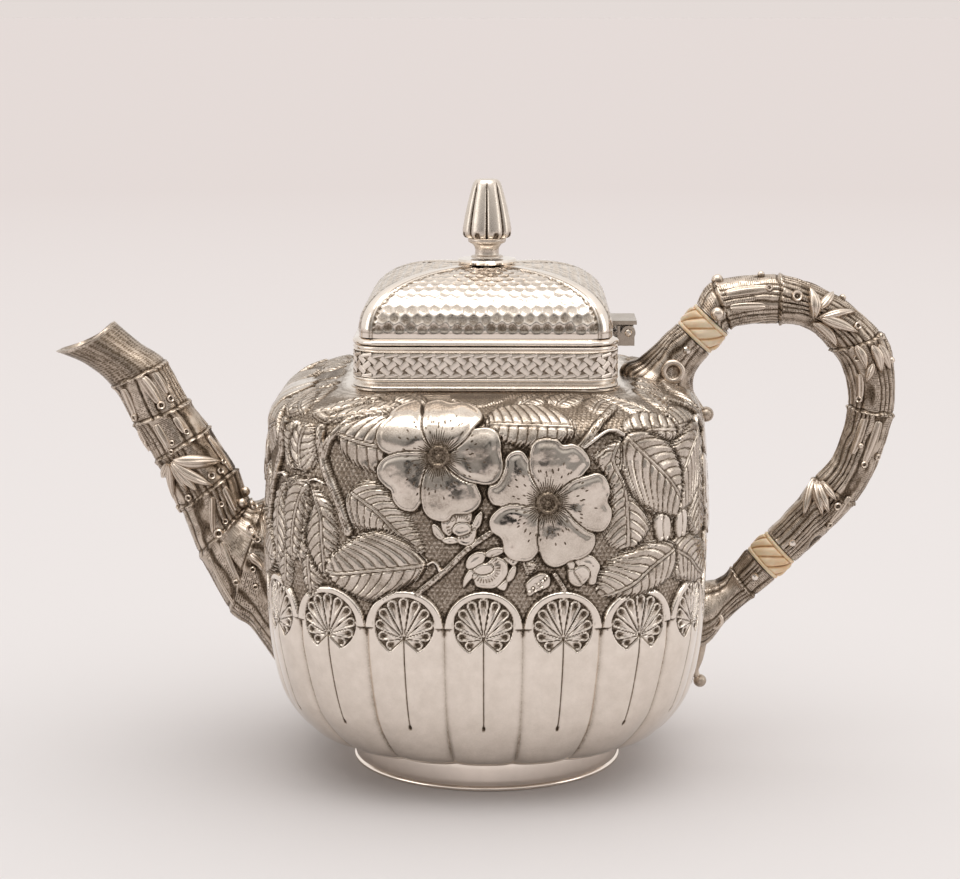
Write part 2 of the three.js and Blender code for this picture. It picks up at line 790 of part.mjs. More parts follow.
// Bamboo tubes: each has a lower and an upper line in the XZ plane, joint rings where asked, and
// a depth along Y as a share of its thickness in side view
function tube(pairs, ribPoints) {
  const first = new THREE.SplineCurve(pairs.map((pair) => pair.from));
  const second = new THREE.SplineCurve(pairs.map((pair) => pair.to));
  const depths = pairs.map((pair) => pair.depth);
  const spans = pairs.length - 1;
  const section = (place) => {
    const span = Math.min(Math.floor(place), spans - 1);
    const part = place - span;
    const from = first.getPoint(place / spans);
    const to = second.getPoint(place / spans);
    const depth = depths[span] * (1 - part) + depths[span + 1] * part;
    const centre = from.clone().add(to).divideScalar(2);
    const half = to.clone().sub(from).divideScalar(2);
    return { centre, half, depth };
  };
  const pointAt = (place, angle, lift) => {
    const { centre, half, depth } = section(place);
    const size = half.length();
    const across = (size + lift) * Math.cos(angle);
    const sideways = (size * depth + lift) * Math.sin(angle);
    const x = centre.x + (half.x / size) * across;
    const z = centre.y + (half.y / size) * across;
    return new THREE.Vector3(x, sideways, z);
  };
  const ring = (place, lift, rib) => {
    const points = [];
    for (let i = 0; i < ribPoints; i++) {
      const angle = (i / ribPoints) * 2 * Math.PI;
      points.push(pointAt(place, angle, lift + (i % 2 ? -rib : rib)));
    }
    return points;
  };
  return { pairs, spans, pointAt, ring };
}

const besideJointShare = 0.07;

function bambooRings(stem) {
  const rings = [];
  stem.pairs.forEach(({ joint }, span) => {
    if (joint) {
      rings.push(stem.ring(span - besideJointShare, 0, barkRib));
      rings.push(stem.ring(span, nodeRidge, 0));
      rings.push(stem.ring(span + besideJointShare, 0, barkRib));
    } else {
      rings.push(stem.ring(span, 0, 0));
    }
    if (span < stem.spans) rings.push(stem.ring(span + 0.5, -stemWaist, barkRib));
  });
  return rings;
}

function besideBody(side, reach, [out, up]) {
  return new THREE.Vector2(side * (bellyHalfWidth + out * reach), bodyBottom + up * bodyHeight);
}

// Spout, from inside the body to the lip: lower line, upper line, depth and joint rings
const spoutShares = [
  [-0.08, 0.10, -0.14, 0.62, 0.5, false],
  [0.1, 0.262, -0.03, 0.66, 0.68, false],
  [0.205, 0.319, 0.023, 0.645, 0.76, true],
  [0.345, 0.474, 0.110, 0.632, 0.98, true],
  [0.437, 0.609, 0.169, 0.716, 1, true],
  [0.547, 0.741, 0.294, 0.833, 1, true],
  [0.642, 0.840, 0.388, 0.907, 1, true],
  [0.737, 0.948, 0.494, 1.018, 1, true],
  [0.862, 1.013, 0.614, 1.070, 1, false],
  [0.996, 1.048, 0.729, 1.129, 0.95, false],
];

function spoutPairs(wall) {
  return spoutShares.map(([lowOut, lowUp, highOut, highUp, depth, joint]) => {
    const from = besideBody(-1, spoutReach, [lowOut, lowUp]);
    const to = besideBody(-1, spoutReach, [highOut, highUp]);
    const inset = to.clone().sub(from).normalize().multiplyScalar(wall);
    const half = from.distanceTo(to) / 2;
    const inner = (half * depth - wall) / (half - wall);
    return { from: from.add(inset), to: to.sub(inset), depth: inner, joint };
  });
}

const rootKnobShares = [0.1, 0.652];
const spoutSides = 12;
const spoutStem = tube(spoutPairs(0), spoutSides);

function dippedLip(ring) {
  const back = ring[0].clone().sub(ring[ring.length / 2]).normalize();
  const down = new THREE.Vector3(-back.z, 0, back.x).negate();
  return ring.map((point, i) => {
    const sideways = Math.sin((i / ring.length) * 2 * Math.PI) ** 2;
    return point.clone().addScaledVector(down, mouthDip * sideways);
  });
}

function spout() {
  const rings = bambooRings(spoutStem);
  rings.push(dippedLip(rings.pop()));
  const bore = tube(spoutPairs(spoutWall), spoutSides);
  const boreRings = [];
  for (let place = 0; place <= bore.spans; place++) {
    boreRings.push(bore.ring(place, 0, 0));
  }
  const beyond = boreRings[boreRings.length - 1];
  const before = boreRings[boreRings.length - 2];
  const ahead = middleOf(beyond).sub(middleOf(before)).normalize().multiplyScalar(cutOverrun);
  boreRings.push(beyond.map((point) => point.clone().add(ahead)));
  const inward = new THREE.Vector3(cutOverrun, 0, 0);
  boreRings.unshift(boreRings[0].map((point) => point.clone().add(inward)));
  const knob = ball(rootKnobRadius, besideBody(-1, spoutReach, rootKnobShares));
  const solid = join([toSolid(loft(rings)), knob]);
  return toGeometry(cut(solid, [toSolid(loft(boreRings)), bodyBlock(seamGap)]));
}

function spoutStrainer() {
  const outer = bellyHalfWidth - seamGap;
  const holes = [];
  for (let row = -1; row <= 1; row++) {
    const across = 4 - Math.abs(row);
    for (let i = 0; i < across; i++) {
      const y = (i - (across - 1) / 2) * strainerPitch;
      const z = row * strainerPitch * Math.sqrt(3) / 2;
      const hole = bar(strainerHoleRadius, -cutOverrun, strainerThickness + cutOverrun, 6);
      holes.push(toSolid(hole.translate(z, y, 0)));
    }
  }
  const plate = cut(toSolid(bar(strainerRadius, 0, strainerThickness, 24)), holes);
  return toGeometry(plate).translate(0, 0, outer - strainerThickness).rotateY(-Math.PI / 2);
}

// Where the ivory rings join the grip to the sockets
const upperJoint = {
  centre: besideBody(1, handleReach, [0, 1.1127]),
  along: new THREE.Vector2(Math.cos(upperJointAngle), Math.sin(upperJointAngle)),
  radius: upperInsulatorRadius,
};
const lowerJoint = {
  centre: besideBody(1, handleReach, [0.378, 0.482]),
  along: new THREE.Vector2(Math.cos(lowerJointAngle), Math.sin(lowerJointAngle)),
  radius: lowerInsulatorRadius,
};

// The flat face that looks at an ivory ring: side is 1 on the grip and -1 on a socket
function jointFace(joint, side) {
  const offset = side * (insulatorLength / 2 + seamGap);
  const centre = joint.centre.clone().addScaledVector(joint.along, offset);
  const inner = new THREE.Vector2(joint.along.y, -joint.along.x).multiplyScalar(joint.radius);
  return { above: centre.clone().sub(inner), below: centre.clone().add(inner) };
}

// Turns a solid made about +Z from its own middle to the joint's axis
function alongJoint(joint, geometry, offset) {
  const place = joint.centre.clone().addScaledVector(joint.along, offset);
  const tilt = Math.PI / 2 - Math.atan2(joint.along.y, joint.along.x);
  return geometry.rotateY(tilt).translate(place.x, 0, place.y);
}

function crossPinPlace(joint, side) {
  return joint.centre.clone().addScaledVector(joint.along, side * crossPinOffset);
}

// Bores for the tenon and the cross pin, on one side of a joint
function tenonCutters(joint, side) {
  const deep = insulatorLength / 2 + tenonLength + seamGap;
  const bore = bar(tenonRadius + seamGap, -deep, deep, 12);
  const place = crossPinPlace(joint, side);
  const reach = joint.radius + cutOverrun;
  const hole = bar(crossPinRadius + seamGap, -reach, reach, 8).rotateX(Math.PI / 2);
  return [
    toSolid(alongJoint(joint, bore, 0)),
    toSolid(hole.translate(place.x, 0, place.y)),
  ];
}

// Grip, from the lower joint round to the upper one: inner line, outer line and joint rings
const gripShares = [
  [0.487, 0.624, 0.662, 0.546, false],
  [0.589, 0.696, 0.798, 0.626, true],
  [0.696, 0.767, 0.903, 0.719, false],
  [0.762, 0.896, 0.99, 0.875, true],
  [0.736, 0.993, 0.99, 1.013, false],
  [0.668, 1.054, 0.928, 1.100, true],
  [0.544, 1.112, 0.689, 1.207, false],
  [0.395, 1.128, 0.399, 1.260, true],
  [0.146, 1.116, 0.062, 1.243, true],
];

function gripPairs() {
  const low = jointFace(lowerJoint, 1);
  const high = jointFace(upperJoint, 1);
  return [
    { from: low.above, to: low.below, depth: 1, joint: false },
    ...gripShares.map(([inOut, inUp, outOut, outUp, joint]) => ({
      from: besideBody(1, handleReach, [inOut, inUp]),
      to: besideBody(1, handleReach, [outOut, outUp]),
      depth: gripDepthShare,
      joint,
    })),
    { from: high.below, to: high.above, depth: 1, joint: false },
  ];
}

const gripStem = tube(gripPairs(), 12);

function grip() {
  const cutters = [...tenonCutters(lowerJoint, 1), ...tenonCutters(upperJoint, 1)];
  return toGeometry(cut(toSolid(loft(bambooRings(gripStem))), cutters));
}

// Sockets, from inside the body out to an ivory ring: upper line, lower line, depth, joint rings
const upperSocketShares = [
  [-0.46, 0.96, -0.15, 0.83, 0.75, false],
  [-0.412, 1.013, -0.011, 0.879, 0.68, false],
  [-0.339, 1.03, -0.042, 0.93, 0.74, false],
  [-0.267, 1.061, -0.049, 0.973, 0.86, false],
  [-0.195, 1.098, -0.018, 1.011, 0.94, false],
];
const lowerSocketShares = [
  [-0.1, 0.40, -0.14, 0.21, 0.95, false],
  [0.047, 0.406, 0.035, 0.225, 0.9, false],
  [0.115, 0.418, 0.149, 0.296, 1, false],
  [0.169, 0.444, 0.283, 0.362, 1, true],
];

function socketPairs(joint, shares) {
  const face = jointFace(joint, -1);
  return [
    ...shares.map(([highOut, highUp, lowOut, lowUp, depth, ring]) => ({
      from: besideBody(1, handleReach, [highOut, highUp]),
      to: besideBody(1, handleReach, [lowOut, lowUp]),
      depth,
      joint: ring,
    })),
    { from: face.above, to: face.below, depth: 1, joint: false },
  ];
}

function ball(radius, place) {
  return toSolid(new THREE.SphereGeometry(radius, 8, 6).translate(place.x, 0, place.y));
}

// A round tail through points in the XZ plane
function tail(places, radius) {
  const path = new THREE.CatmullRomCurve3(places.map((place) => new THREE.Vector3(place.x, 0, place.y)));
  const round = new THREE.Shape().absarc(0, 0, radius, 0, 2 * Math.PI);
  const options = { steps: 5, curveSegments: 3, extrudePath: path };
  return toSolid(new THREE.ExtrudeGeometry(round, options));
}

// A raised eyelet on both flanks of a socket, and the recess inside it
function eyelets(place, flank, radius) {
  const inner = eyeletHoleRadius * radius / eyeletRadius;
  const rings = [];
  const recesses = [];
  for (const side of [1, -1]) {
    const turn = -side * Math.PI / 2;
    const ring = turned([[0, flank - radius], [radius, flank - radius],
      [radius, flank + eyeletHeight / 2], [radius - eyeletHeight / 2, flank + eyeletHeight],
      [0, flank + eyeletHeight]], 12);
    const recess = bar(inner, flank, flank + eyeletHeight + cutOverrun, 8);
    rings.push(toSolid(ring.rotateX(turn).translate(place.x, 0, place.y)));
    recesses.push(toSolid(recess.rotateX(turn).translate(place.x, 0, place.y)));
  }
  return { rings, recesses };
}

function socket(joint, shares, eyelet, scroll) {
  const stem = tube(socketPairs(joint, shares), 10);
  const { rings, recesses } = eyelets(eyelet.place, eyelet.flank, eyelet.radius);
  const whole = join([toSolid(loft(bambooRings(stem))), ...rings, ...scroll]);
  const cutters = [...recesses, ...tenonCutters(joint, -1), bodyBlock(seamGap)];
  return toGeometry(cut(whole, cutters));
}

function upperSocket() {
  const eyelet = {
    place: besideBody(1, handleReach, [-0.159, 1.003]),
    flank: upperInsulatorRadius,
    radius: eyeletRadius,
  };
  const end = besideBody(1, handleReach, [0.023, 0.8765]);
  const start = besideBody(1, handleReach, [-0.02, 0.92]);
  return socket(upperJoint, upperSocketShares, eyelet, [
    ball(ballRadius, end),
    tail([start, end], ballRadius / 2),
  ]);
}

function lowerSocket() {
  const eyelet = {
    place: besideBody(1, handleReach, [0.075, 0.31]),
    flank: lowerInsulatorRadius,
    radius: eyeletRadius * 0.8,
  };
  const end = besideBody(1, handleReach, [0.014, 0.122]);
  const route = [[0.03, 0.25], [0.01, 0.19], [-0.012, 0.15]];
  return socket(lowerJoint, lowerSocketShares, eyelet, [
    ball(ballRadius * 0.85, end),
    tail([...route.map((shares) => besideBody(1, handleReach, shares)), end], ballRadius / 2),
  ]);
}

// An ivory ring: two plain collars, a spiral gadroon between them, and a tenon at each end
function insulator(joint) {
  const half = insulatorLength / 2;
  const perLobe = 2;
  const count = gadroonLobes * perLobe;
  const ring = (radius, height, relief) => {
    const points = [];
    const twist = relief ? height / half : 0;
    for (let i = 0; i < count; i++) {
      const angle = (i / count + twist / gadroonLobes) * 2 * Math.PI;
      const size = radius + (i % perLobe ? -relief : relief) / 2;
      points.push(new THREE.Vector3(size * Math.cos(angle), size * Math.sin(angle), height));
    }
    return points;
  };
  const edge = joint.radius;
  const inside = half - insulatorCollar;
  const rings = [
    ring(tenonRadius, -half - tenonLength, 0),
    ring(tenonRadius, -half, 0),
    ring(edge, -half, 0),
    ring(edge, -inside, 0),
  ];
  for (const share of [-0.75, -0.25, 0.25, 0.75]) {
    const bulge = gadroonProud * (1 - share * share);
    rings.push(ring(edge + bulge, share * inside, gadroonProud));
  }
  rings.push(ring(edge, inside, 0));
  rings.push(ring(edge, half, 0));
  rings.push(ring(tenonRadius, half, 0));
  rings.push(ring(tenonRadius, half + tenonLength, 0));
  const cutters = [1, -1].map((side) => {
    const hole = bar(crossPinRadius + seamGap, -joint.radius, joint.radius, 8);
    return toSolid(hole.rotateX(Math.PI / 2).translate(0, 0, side * crossPinOffset));
  });
  return toGeometry(cut(toSolid(loft(rings)), cutters));
}

// A slim bamboo leaf that lies on a stem, between two spots given as [place, angle in degrees]
function leaf(stem, root, tip) {
  const [rootPlace, rootAngle] = spotOn(root);
  const [tipPlace, tipAngle] = spotOn(tip);
  const middle = (rootPlace + tipPlace) / 2;
  const facing = (rootAngle + tipAngle) / 2;
  const chord = stem.pointAt(rootPlace, facing, 0).distanceTo(stem.pointAt(tipPlace, facing, 0));
  const radius = stem.pointAt(middle, 0, 0).distanceTo(stem.pointAt(middle, Math.PI, 0)) / 2;
  const run = new THREE.Vector2(chord, (tipAngle - rootAngle) * radius);
  const length = run.length();
  const halfWidth = Math.min(leafHalfWidth, leafSlimShare * length);
  const at = (share, sideways, lift) => {
    const along = share - sideways * run.y / (length * chord);
    const around = share + sideways * run.x / (length * run.y);
    const spot = rootPlace + along * (tipPlace - rootPlace);
    return stem.pointAt(spot, rootAngle + around * (tipAngle - rootAngle), lift);
  };
  const widthShares = [0.2, 0.85, 1, 0.7, 0.12];
  const rings = widthShares.map((share, i) => {
    const forward = i / (widthShares.length - 1);
    const side = halfWidth * share;
    const crown = leafLift + leafEdge + (leafThickness - leafEdge) * share;
    return [
      at(forward, -side, leafLift + leafEdge / 2),
      at(forward, 0, crown),
      at(forward, side, leafLift + leafEdge / 2),
      at(forward, 0, leafLift),
    ];
  });
  const solid = toSolid(loft(rings));
  return solid.volume() > 0 ? solid : toSolid(loft(rings.toReversed()));
}

function spotOn([spot, degrees]) {
  return [spot, THREE.MathUtils.degToRad(degrees)];
}

// Leaves that part from one bud, by the spots of their tips
function spray(stem, root, tips) {
  const centre = stem.pointAt(...spotOn(root), leafLift + berryRadius);
  const bud = new THREE.SphereGeometry(berryRadius, 6, 5).translate(centre.x, centre.y, centre.z);
  return toGeometry(join([toSolid(bud), ...tips.map((tip) => leaf(stem, root, tip))]));
}

// Assembly
const teapot = new THREE.Group();
teapot.position.x = axisX;
const pot = new THREE.Group();
const lid = new THREE.Group();
teapot.add(pot, lid);

function place(group, name, geometry, material) {
  const mesh = new THREE.Mesh(geometry, material);
  mesh.name = name;
  group.add(mesh);
  return mesh;
}

place(pot, 'body_shell', bodyShell(), silver);
place(pot, 'foot_ring', footRing(), polished);
place(pot, 'collar_wall', collarWall(), silver);
place(pot, 'collar_woven_band', collarBand(), oxidised);
place(pot, 'collar_wire', collarWire(), silver);
place(pot, 'collar_rim', collarRim(), polished);
place(pot, 'spout', spout(), oxidised);
place(pot, 'spout_strainer', spoutStrainer(), silver).position.z = strainerLevel;
place(pot, 'upper_socket', upperSocket(), oxidised);
place(pot, 'lower_socket', lowerSocket(), oxidised);
place(pot, 'handle_grip', grip(), oxidised);

for (const [name, joint] of [['upper', upperJoint], ['lower', lowerJoint]]) {
  const ring = place(pot, `${name}_insulator`, insulator(joint), ivory);
  ring.position.set(joint.centre.x, 0, joint.centre.y);
  ring.rotation.y = Math.PI / 2 - Math.atan2(joint.along.y, joint.along.x);
  for (const [end, side] of [['grip', 1], ['socket', -1]]) {
    const length = 2 * (joint.radius + stemWaist + barkRib + seamGap);
    const geometry = headedPin(crossPinRadius, pinHeadRadius, pinHeadHeight, length);
    const pin = place(pot, `${name}_${end}_pin`, geometry, polished);
    const spot = crossPinPlace(joint, side);
    pin.position.set(spot.x, 0, spot.y);
    pin.rotation.x = Math.PI / 2;
  }
}

const sprays = {
  spout_leaf_spray: spray(spoutStem, [4.94, -112],
    [[4.36, -40], [4.1, -74], [4.16, -99], [4.22, -163]]),
  grip_upper_leaf_spray: spray(gripStem, [7.28, -114],
    [[7.6, -40], [6.64, -34], [7.1, -20], [6.2, -132]]),
  grip_outer_leaf_spray: spray(gripStem, [5.95, -76],
    [[5.14, -101], [4.96, -72], [4.98, -46]]),
  grip_lower_leaf_spray: spray(gripStem, [1.92, -160],
    [[0.98, -78], [1.52, -84], [1.66, -70]]),
};
for (const [name, geometry] of Object.entries(sprays)) {
  place(pot, name, geometry, oxidised);
}

const bodyLeaf = place(pot, 'hinge_body_leaf', hingeBodyLeaf(), silver);
bodyLeaf.position.set(pinX, 0, pinZ);
const hingePinLength = hingeLength + 2 * seamGap;
const pinShape = headedPin(hingePinRadius, pinHeadRadius, pinHeadHeight, hingePinLength);
const hingePin = place(pot, 'hinge_pin', pinShape, polished);
hingePin.position.set(pinX, 0, pinZ);
hingePin.rotation.x = Math.PI / 2;

place(lid, 'lid_dome', lidDome(), silver);
place(lid, 'lid_rim', lidRim(), polished);
place(lid, 'lid_bezel', lidBezel(), silver);
place(lid, 'finial', finial(), silver);
place(lid, 'finial_disc', finialDisc(), polished);
place(lid, 'finial_nut', finialNut(), silver);
const lidLeaf = place(lid, 'hinge_lid_leaf', hingeLidLeaf(), silver);
lidLeaf.position.set(pinX, 0, pinZ);

export default teapot;
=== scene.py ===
import math

import bpy
import numpy as np
from mathutils import Matrix, Vector


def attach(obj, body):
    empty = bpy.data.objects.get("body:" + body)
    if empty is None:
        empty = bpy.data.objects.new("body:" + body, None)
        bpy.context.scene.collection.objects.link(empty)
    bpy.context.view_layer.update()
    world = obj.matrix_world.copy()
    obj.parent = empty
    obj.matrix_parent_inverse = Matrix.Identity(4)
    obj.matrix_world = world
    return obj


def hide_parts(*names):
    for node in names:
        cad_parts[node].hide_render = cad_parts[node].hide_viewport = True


# A silver teapot with a repousse body, a hammered lid, a bamboo spout and a bamboo handle.
# Shapes are worked out in millimetres and made in metres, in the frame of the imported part.
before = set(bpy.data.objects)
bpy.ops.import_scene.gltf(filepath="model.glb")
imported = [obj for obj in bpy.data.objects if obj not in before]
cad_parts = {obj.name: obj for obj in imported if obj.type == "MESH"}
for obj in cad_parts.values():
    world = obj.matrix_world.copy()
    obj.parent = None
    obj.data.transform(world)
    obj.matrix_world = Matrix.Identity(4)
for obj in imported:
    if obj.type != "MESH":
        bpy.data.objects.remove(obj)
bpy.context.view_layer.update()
scene = bpy.context.scene
metres = 0.001
axisX = 3.5  # the body's own axis, from the middle of the teapot's length
turn = 2 * math.pi

print("stage: frame loaded,", len(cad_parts), "nodes")


# small tools

def ease(low, high, value):
    share = np.clip((value - low) / (high - low), 0, 1)
    return share * share * (3 - 2 * share)


def bump(value, middle, width):
    return np.exp(-((value - middle) / width) ** 2)


def archOf(value, power=2):
    # one in the middle, falling to nought in a rounded way where the value reaches one
    return np.sqrt(np.maximum(0, 1 - value ** power))


def ringAngles(count):
    return np.arange(count) / count * turn


def unit(vectors):
    return vectors / np.maximum(np.linalg.norm(vectors, axis=-1, keepdims=True), 1e-9)


def roundGrid(radius, angle, height):
    # points about the body's own axis
    x, y = radius * np.cos(angle), radius * np.sin(angle)
    return np.stack([x + axisX, y, height + 0 * x], -1)


def splinePoint(points, share):
    # the same curve as the part's own: uniform Catmull-Rom with its ends held
    points = np.asarray(points, float)
    spans = len(points) - 1
    place = np.clip(np.asarray(share, float) * spans, 0, spans)
    index = np.minimum(place.astype(int), spans - 1)
    part = (place - index)[..., None]
    before = points[np.maximum(index - 1, 0)]
    here = points[index]
    ahead = points[index + 1]
    beyond = points[np.minimum(index + 2, spans)]
    slope = (ahead - before) / 2
    nextSlope = (beyond - here) / 2
    cubic = (2 * here - 2 * ahead + slope + nextSlope) * part ** 3
    square = (-3 * here + 3 * ahead - 2 * slope - nextSlope) * part ** 2
    return cubic + square + slope * part + here


def smoothOpen(points, perSpan=5):
    spans = len(points) - 1
    return splinePoint(points, np.linspace(0, 1, spans * perSpan + 1))


def smoothClosed(points, perSpan=4):
    count = len(points)
    ring = [*points[-2:], *points, *points[:3]]
    spans = len(ring) - 1
    places = 2 + np.arange(count * perSpan) / perSpan
    return splinePoint(ring, places / spans)


def toLine(across, along, line):
    # distance to a line of points, how far along it the nearest point is, and on which side
    line = np.asarray(line, float)
    best = np.full(across.shape, 1e9)
    reach = np.zeros(across.shape)
    side = np.ones(across.shape)
    run = 0.0
    for start, end in zip(line[:-1], line[1:]):
        step = end - start
        length = math.hypot(*step) or 1e-9
        dx = across - start[0]
        dy = along - start[1]
        share = np.clip((dx * step[0] + dy * step[1]) / length ** 2, 0, 1)
        gap = np.hypot(dx - share * step[0], dy - share * step[1])
        near = gap < best
        best = np.where(near, gap, best)
        reach = np.where(near, run + share * length, reach)
        side = np.where(near, np.sign(step[0] * dy - step[1] * dx), side)
        run += length
    return best, reach, side, run


def insideOf(across, along, ring):
    # distance to a closed outline, above nought inside it
    closed = np.vstack([ring, ring[:1]])
    gap = toLine(across, along, closed)[0]
    inside = np.zeros(across.shape, bool)
    for (x0, y0), (x1, y1) in zip(closed[:-1], closed[1:]):
        if y0 == y1:
            continue
        crosses = (y0 > along) != (y1 > along)
        inside ^= crosses & (across < (x1 - x0) * (along - y0) / (y1 - y0) + x0)
    return np.where(inside, gap, -gap)


def hashed(first, second, seed=0):
    # steady random numbers from whole numbers
    mixed = np.sin(first * 127.1 + second * 311.7 + seed * 74.7) * 43758.5453
    return mixed - np.floor(mixed)


def valueNoise(x, y, seed=0):
    x0 = np.floor(x)
    y0 = np.floor(y)
    u = x - x0
    v = y - y0
    u = u * u * (3 - 2 * u)
    v = v * v * (3 - 2 * v)
    low = hashed(x0, y0, seed) * (1 - u) + hashed(x0 + 1, y0, seed) * u
    high = hashed(x0, y0 + 1, seed) * (1 - u) + hashed(x0 + 1, y0 + 1, seed) * u
    return low * (1 - v) + high * v


def blurred(field, radius):
    # smoothed round the body, where the field wraps, and then up it, where it ends
    shifts = np.arange(-radius, radius + 1)
    kernel = np.exp(-(shifts / (radius / 1.8)) ** 2)
    kernel /= kernel.sum()
    around = sum(share * np.roll(field, shift, 0) for share, shift in zip(kernel, shifts))
    places = np.arange(field.shape[1])
    pairs = zip(kernel, shifts)
    return sum(share * around[:, np.clip(places + shift, 0, places[-1])] for share, shift in pairs)


def pieceFrom(name, points, faces, normals, values, flatUv=None, sharpAngle=None, wrapsUv=False):
    mesh = bpy.data.meshes.new(name)
    points = np.asarray(points, float)
    mesh.vertices.add(len(points))
    mesh.vertices.foreach_set("co", (points * metres).astype(np.float32).ravel())
    faces = [np.asarray(group, np.int32) for group in faces if len(group)]
    corners = np.concatenate([group.ravel() for group in faces])
    sizes = np.concatenate([np.full(len(group), group.shape[1], np.int32) for group in faces])
    starts = np.concatenate([[0], np.cumsum(sizes)[:-1]]).astype(np.int32)
    mesh.loops.add(len(corners))
    mesh.loops.foreach_set("vertex_index", corners)
    mesh.polygons.add(len(sizes))
    mesh.polygons.foreach_set("loop_start", starts)
    mesh.polygons.foreach_set("use_smooth", np.ones(len(sizes), bool))
    mesh.update(calc_edges=True)
    if mesh.validate():
        print("note: repaired", name)
    for key, value in values.items():
        layer = mesh.attributes.new(key, "FLOAT", "POINT")
        layer.data.foreach_set("value", np.asarray(value, np.float32).ravel())
    if flatUv is not None:
        layer = mesh.uv_layers.new(name="skin")
        cornerUv = flatUv[corners]
        if wrapsUv:
            highest = np.repeat(np.maximum.reduceat(cornerUv[:, 0], starts), sizes)
            cornerUv[:, 0] += cornerUv[:, 0] < highest - 0.5
        layer.data.foreach_set("uv", cornerUv.astype(np.float32).ravel())
    if sharpAngle is not None:
        mesh.set_sharp_from_angle(angle=math.radians(sharpAngle))
    if normals is not None:
        mesh.normals_split_custom_set_from_vertices(normals.astype(np.float32))
    piece = bpy.data.objects.new(name, mesh)
    scene.collection.objects.link(piece)
    return piece


def finishPiece(piece, material, body, slot, *replaced):
    piece.data.materials.clear()
    piece.data.materials.append(material)
    if replaced:
        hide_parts(*replaced)
    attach(piece, body)
    return piece


def gridFaces(first, rows, columns, wraps, flipped=False):
    # four-sided faces over a grid of points numbered row by row
    last = columns if wraps else columns - 1
    row, column = np.meshgrid(np.arange(rows - 1), np.arange(last), indexing="ij")
    beside = (column + 1) % columns
    a = first + row * columns + column
    b = first + row * columns + beside
    c = first + (row + 1) * columns + beside
    d = first + (row + 1) * columns + column
    order = (a, d, c, b) if flipped else (a, b, c, d)
    return np.stack([part.ravel() for part in order], 1)


def capFaces(centre, ring, flipped=False):
    ring = np.asarray(ring)
    beside = np.roll(ring, -1)
    middle = np.full(len(ring), centre)
    order = (middle, beside, ring) if flipped else (middle, ring, beside)
    return np.stack(order, 1)


# materials

class Wiring:
    # a tree of nodes, with short ways to add and join them
    def __init__(self, tree):
        self.nodes = tree.nodes
        self.links = tree.links

    def feed(self, socket, source):
        # a socket takes another node's output or a plain value
        if isinstance(source, bpy.types.NodeSocket):
            self.links.new(source, socket)
        else:
            socket.default_value = source

    def add(self, kind, inputs=None, **settings):
        node = self.nodes.new(kind)
        for key, value in settings.items():
            setattr(node, key, value)
        for label, source in (inputs or {}).items():
            self.feed(node.inputs[label], source)
        return node

    def maths(self, operation, first, second=0, clamp=False):
        node = self.add("ShaderNodeMath", {0: first, 1: second}, operation=operation, use_clamp=clamp)
        return node.outputs[0]

    def ramp(self, source, stops):
        node = self.add("ShaderNodeValToRGB", {0: source})
        elements = node.color_ramp.elements
        for element, (place, colour) in zip(elements, (stops[0], stops[-1])):
            element.position = place
            element.color = (*colour, 1)
        for place, colour in stops[1:-1]:
            elements.new(place).color = (*colour, 1)
        return node.outputs[0]

    def times(self, first, second, clamp=False):
        return self.maths("MULTIPLY", first, second, clamp)

    def plus(self, first, second, clamp=False):
        return self.maths("ADD", first, second, clamp)

    def minus(self, first, second):
        return self.maths("SUBTRACT", first, second)

    def most(self, first, second):
        return self.maths("MAXIMUM", first, second)

    def squares(self, first, second):
        return self.plus(self.times(first, first), self.times(second, second))

    def offMiddle(self, source):
        # how far a value's fraction lies from a half
        return self.maths("ABSOLUTE", self.minus(self.maths("FRACT", source), 0.5))

    def attribute(self, name):
        return self.add("ShaderNodeAttribute", attribute_name=name).outputs["Fac"]

    def noise(self, scale, detail, roughness):
        place = self.add("ShaderNodeTexCoord").outputs["Object"]
        inputs = {"Vector": place, "Scale": scale, "Detail": detail, "Roughness": roughness}
        return self.add("ShaderNodeTexNoise", inputs).outputs["Fac"]

    def range(self, source, low, high, newLow, newHigh):
        inputs = {"Value": source, "From Min": low, "From Max": high, "To Min": newLow, "To Max": newHigh}
        return self.add("ShaderNodeMapRange", inputs).outputs[0]

    def bump(self, height, distance, strength):
        inputs = {"Height": height, "Distance": distance, "Strength": strength}
        return self.add("ShaderNodeBump", inputs).outputs[0]

    def mixed(self, amount, first, second):
        inputs = {0: amount, 6: (*first, 1), 7: (*second, 1)}
        return self.add("ShaderNodeMix", inputs, data_type="RGBA").outputs[2]

    def blend(self, amount, first, second):
        return self.add("ShaderNodeMix", {0: amount, 2: first, 3: second}, data_type="FLOAT").outputs[0]


class Look(Wiring):
    # a material being built
    def __init__(self, name):
        self.material = bpy.data.materials.new(name)
        self.material.use_nodes = True
        super().__init__(self.material.node_tree)
        self.shader = self.nodes["Principled BSDF"]

    def give(self, inputs):
        for label, source in inputs.items():
            self.feed(self.shader.inputs[label], source)
        return self.material


# colours from clean silver through wear and tarnish to dark patina; the same ramp also colours painted shade
# and painted reflection
brightSilver = (0.86, 0.785, 0.71)
wornSilver = (0.62, 0.55, 0.48)
tarnishAndShade = (0.24, 0.19, 0.145)
darkPatinaAndShade = (0.05, 0.035, 0.023)


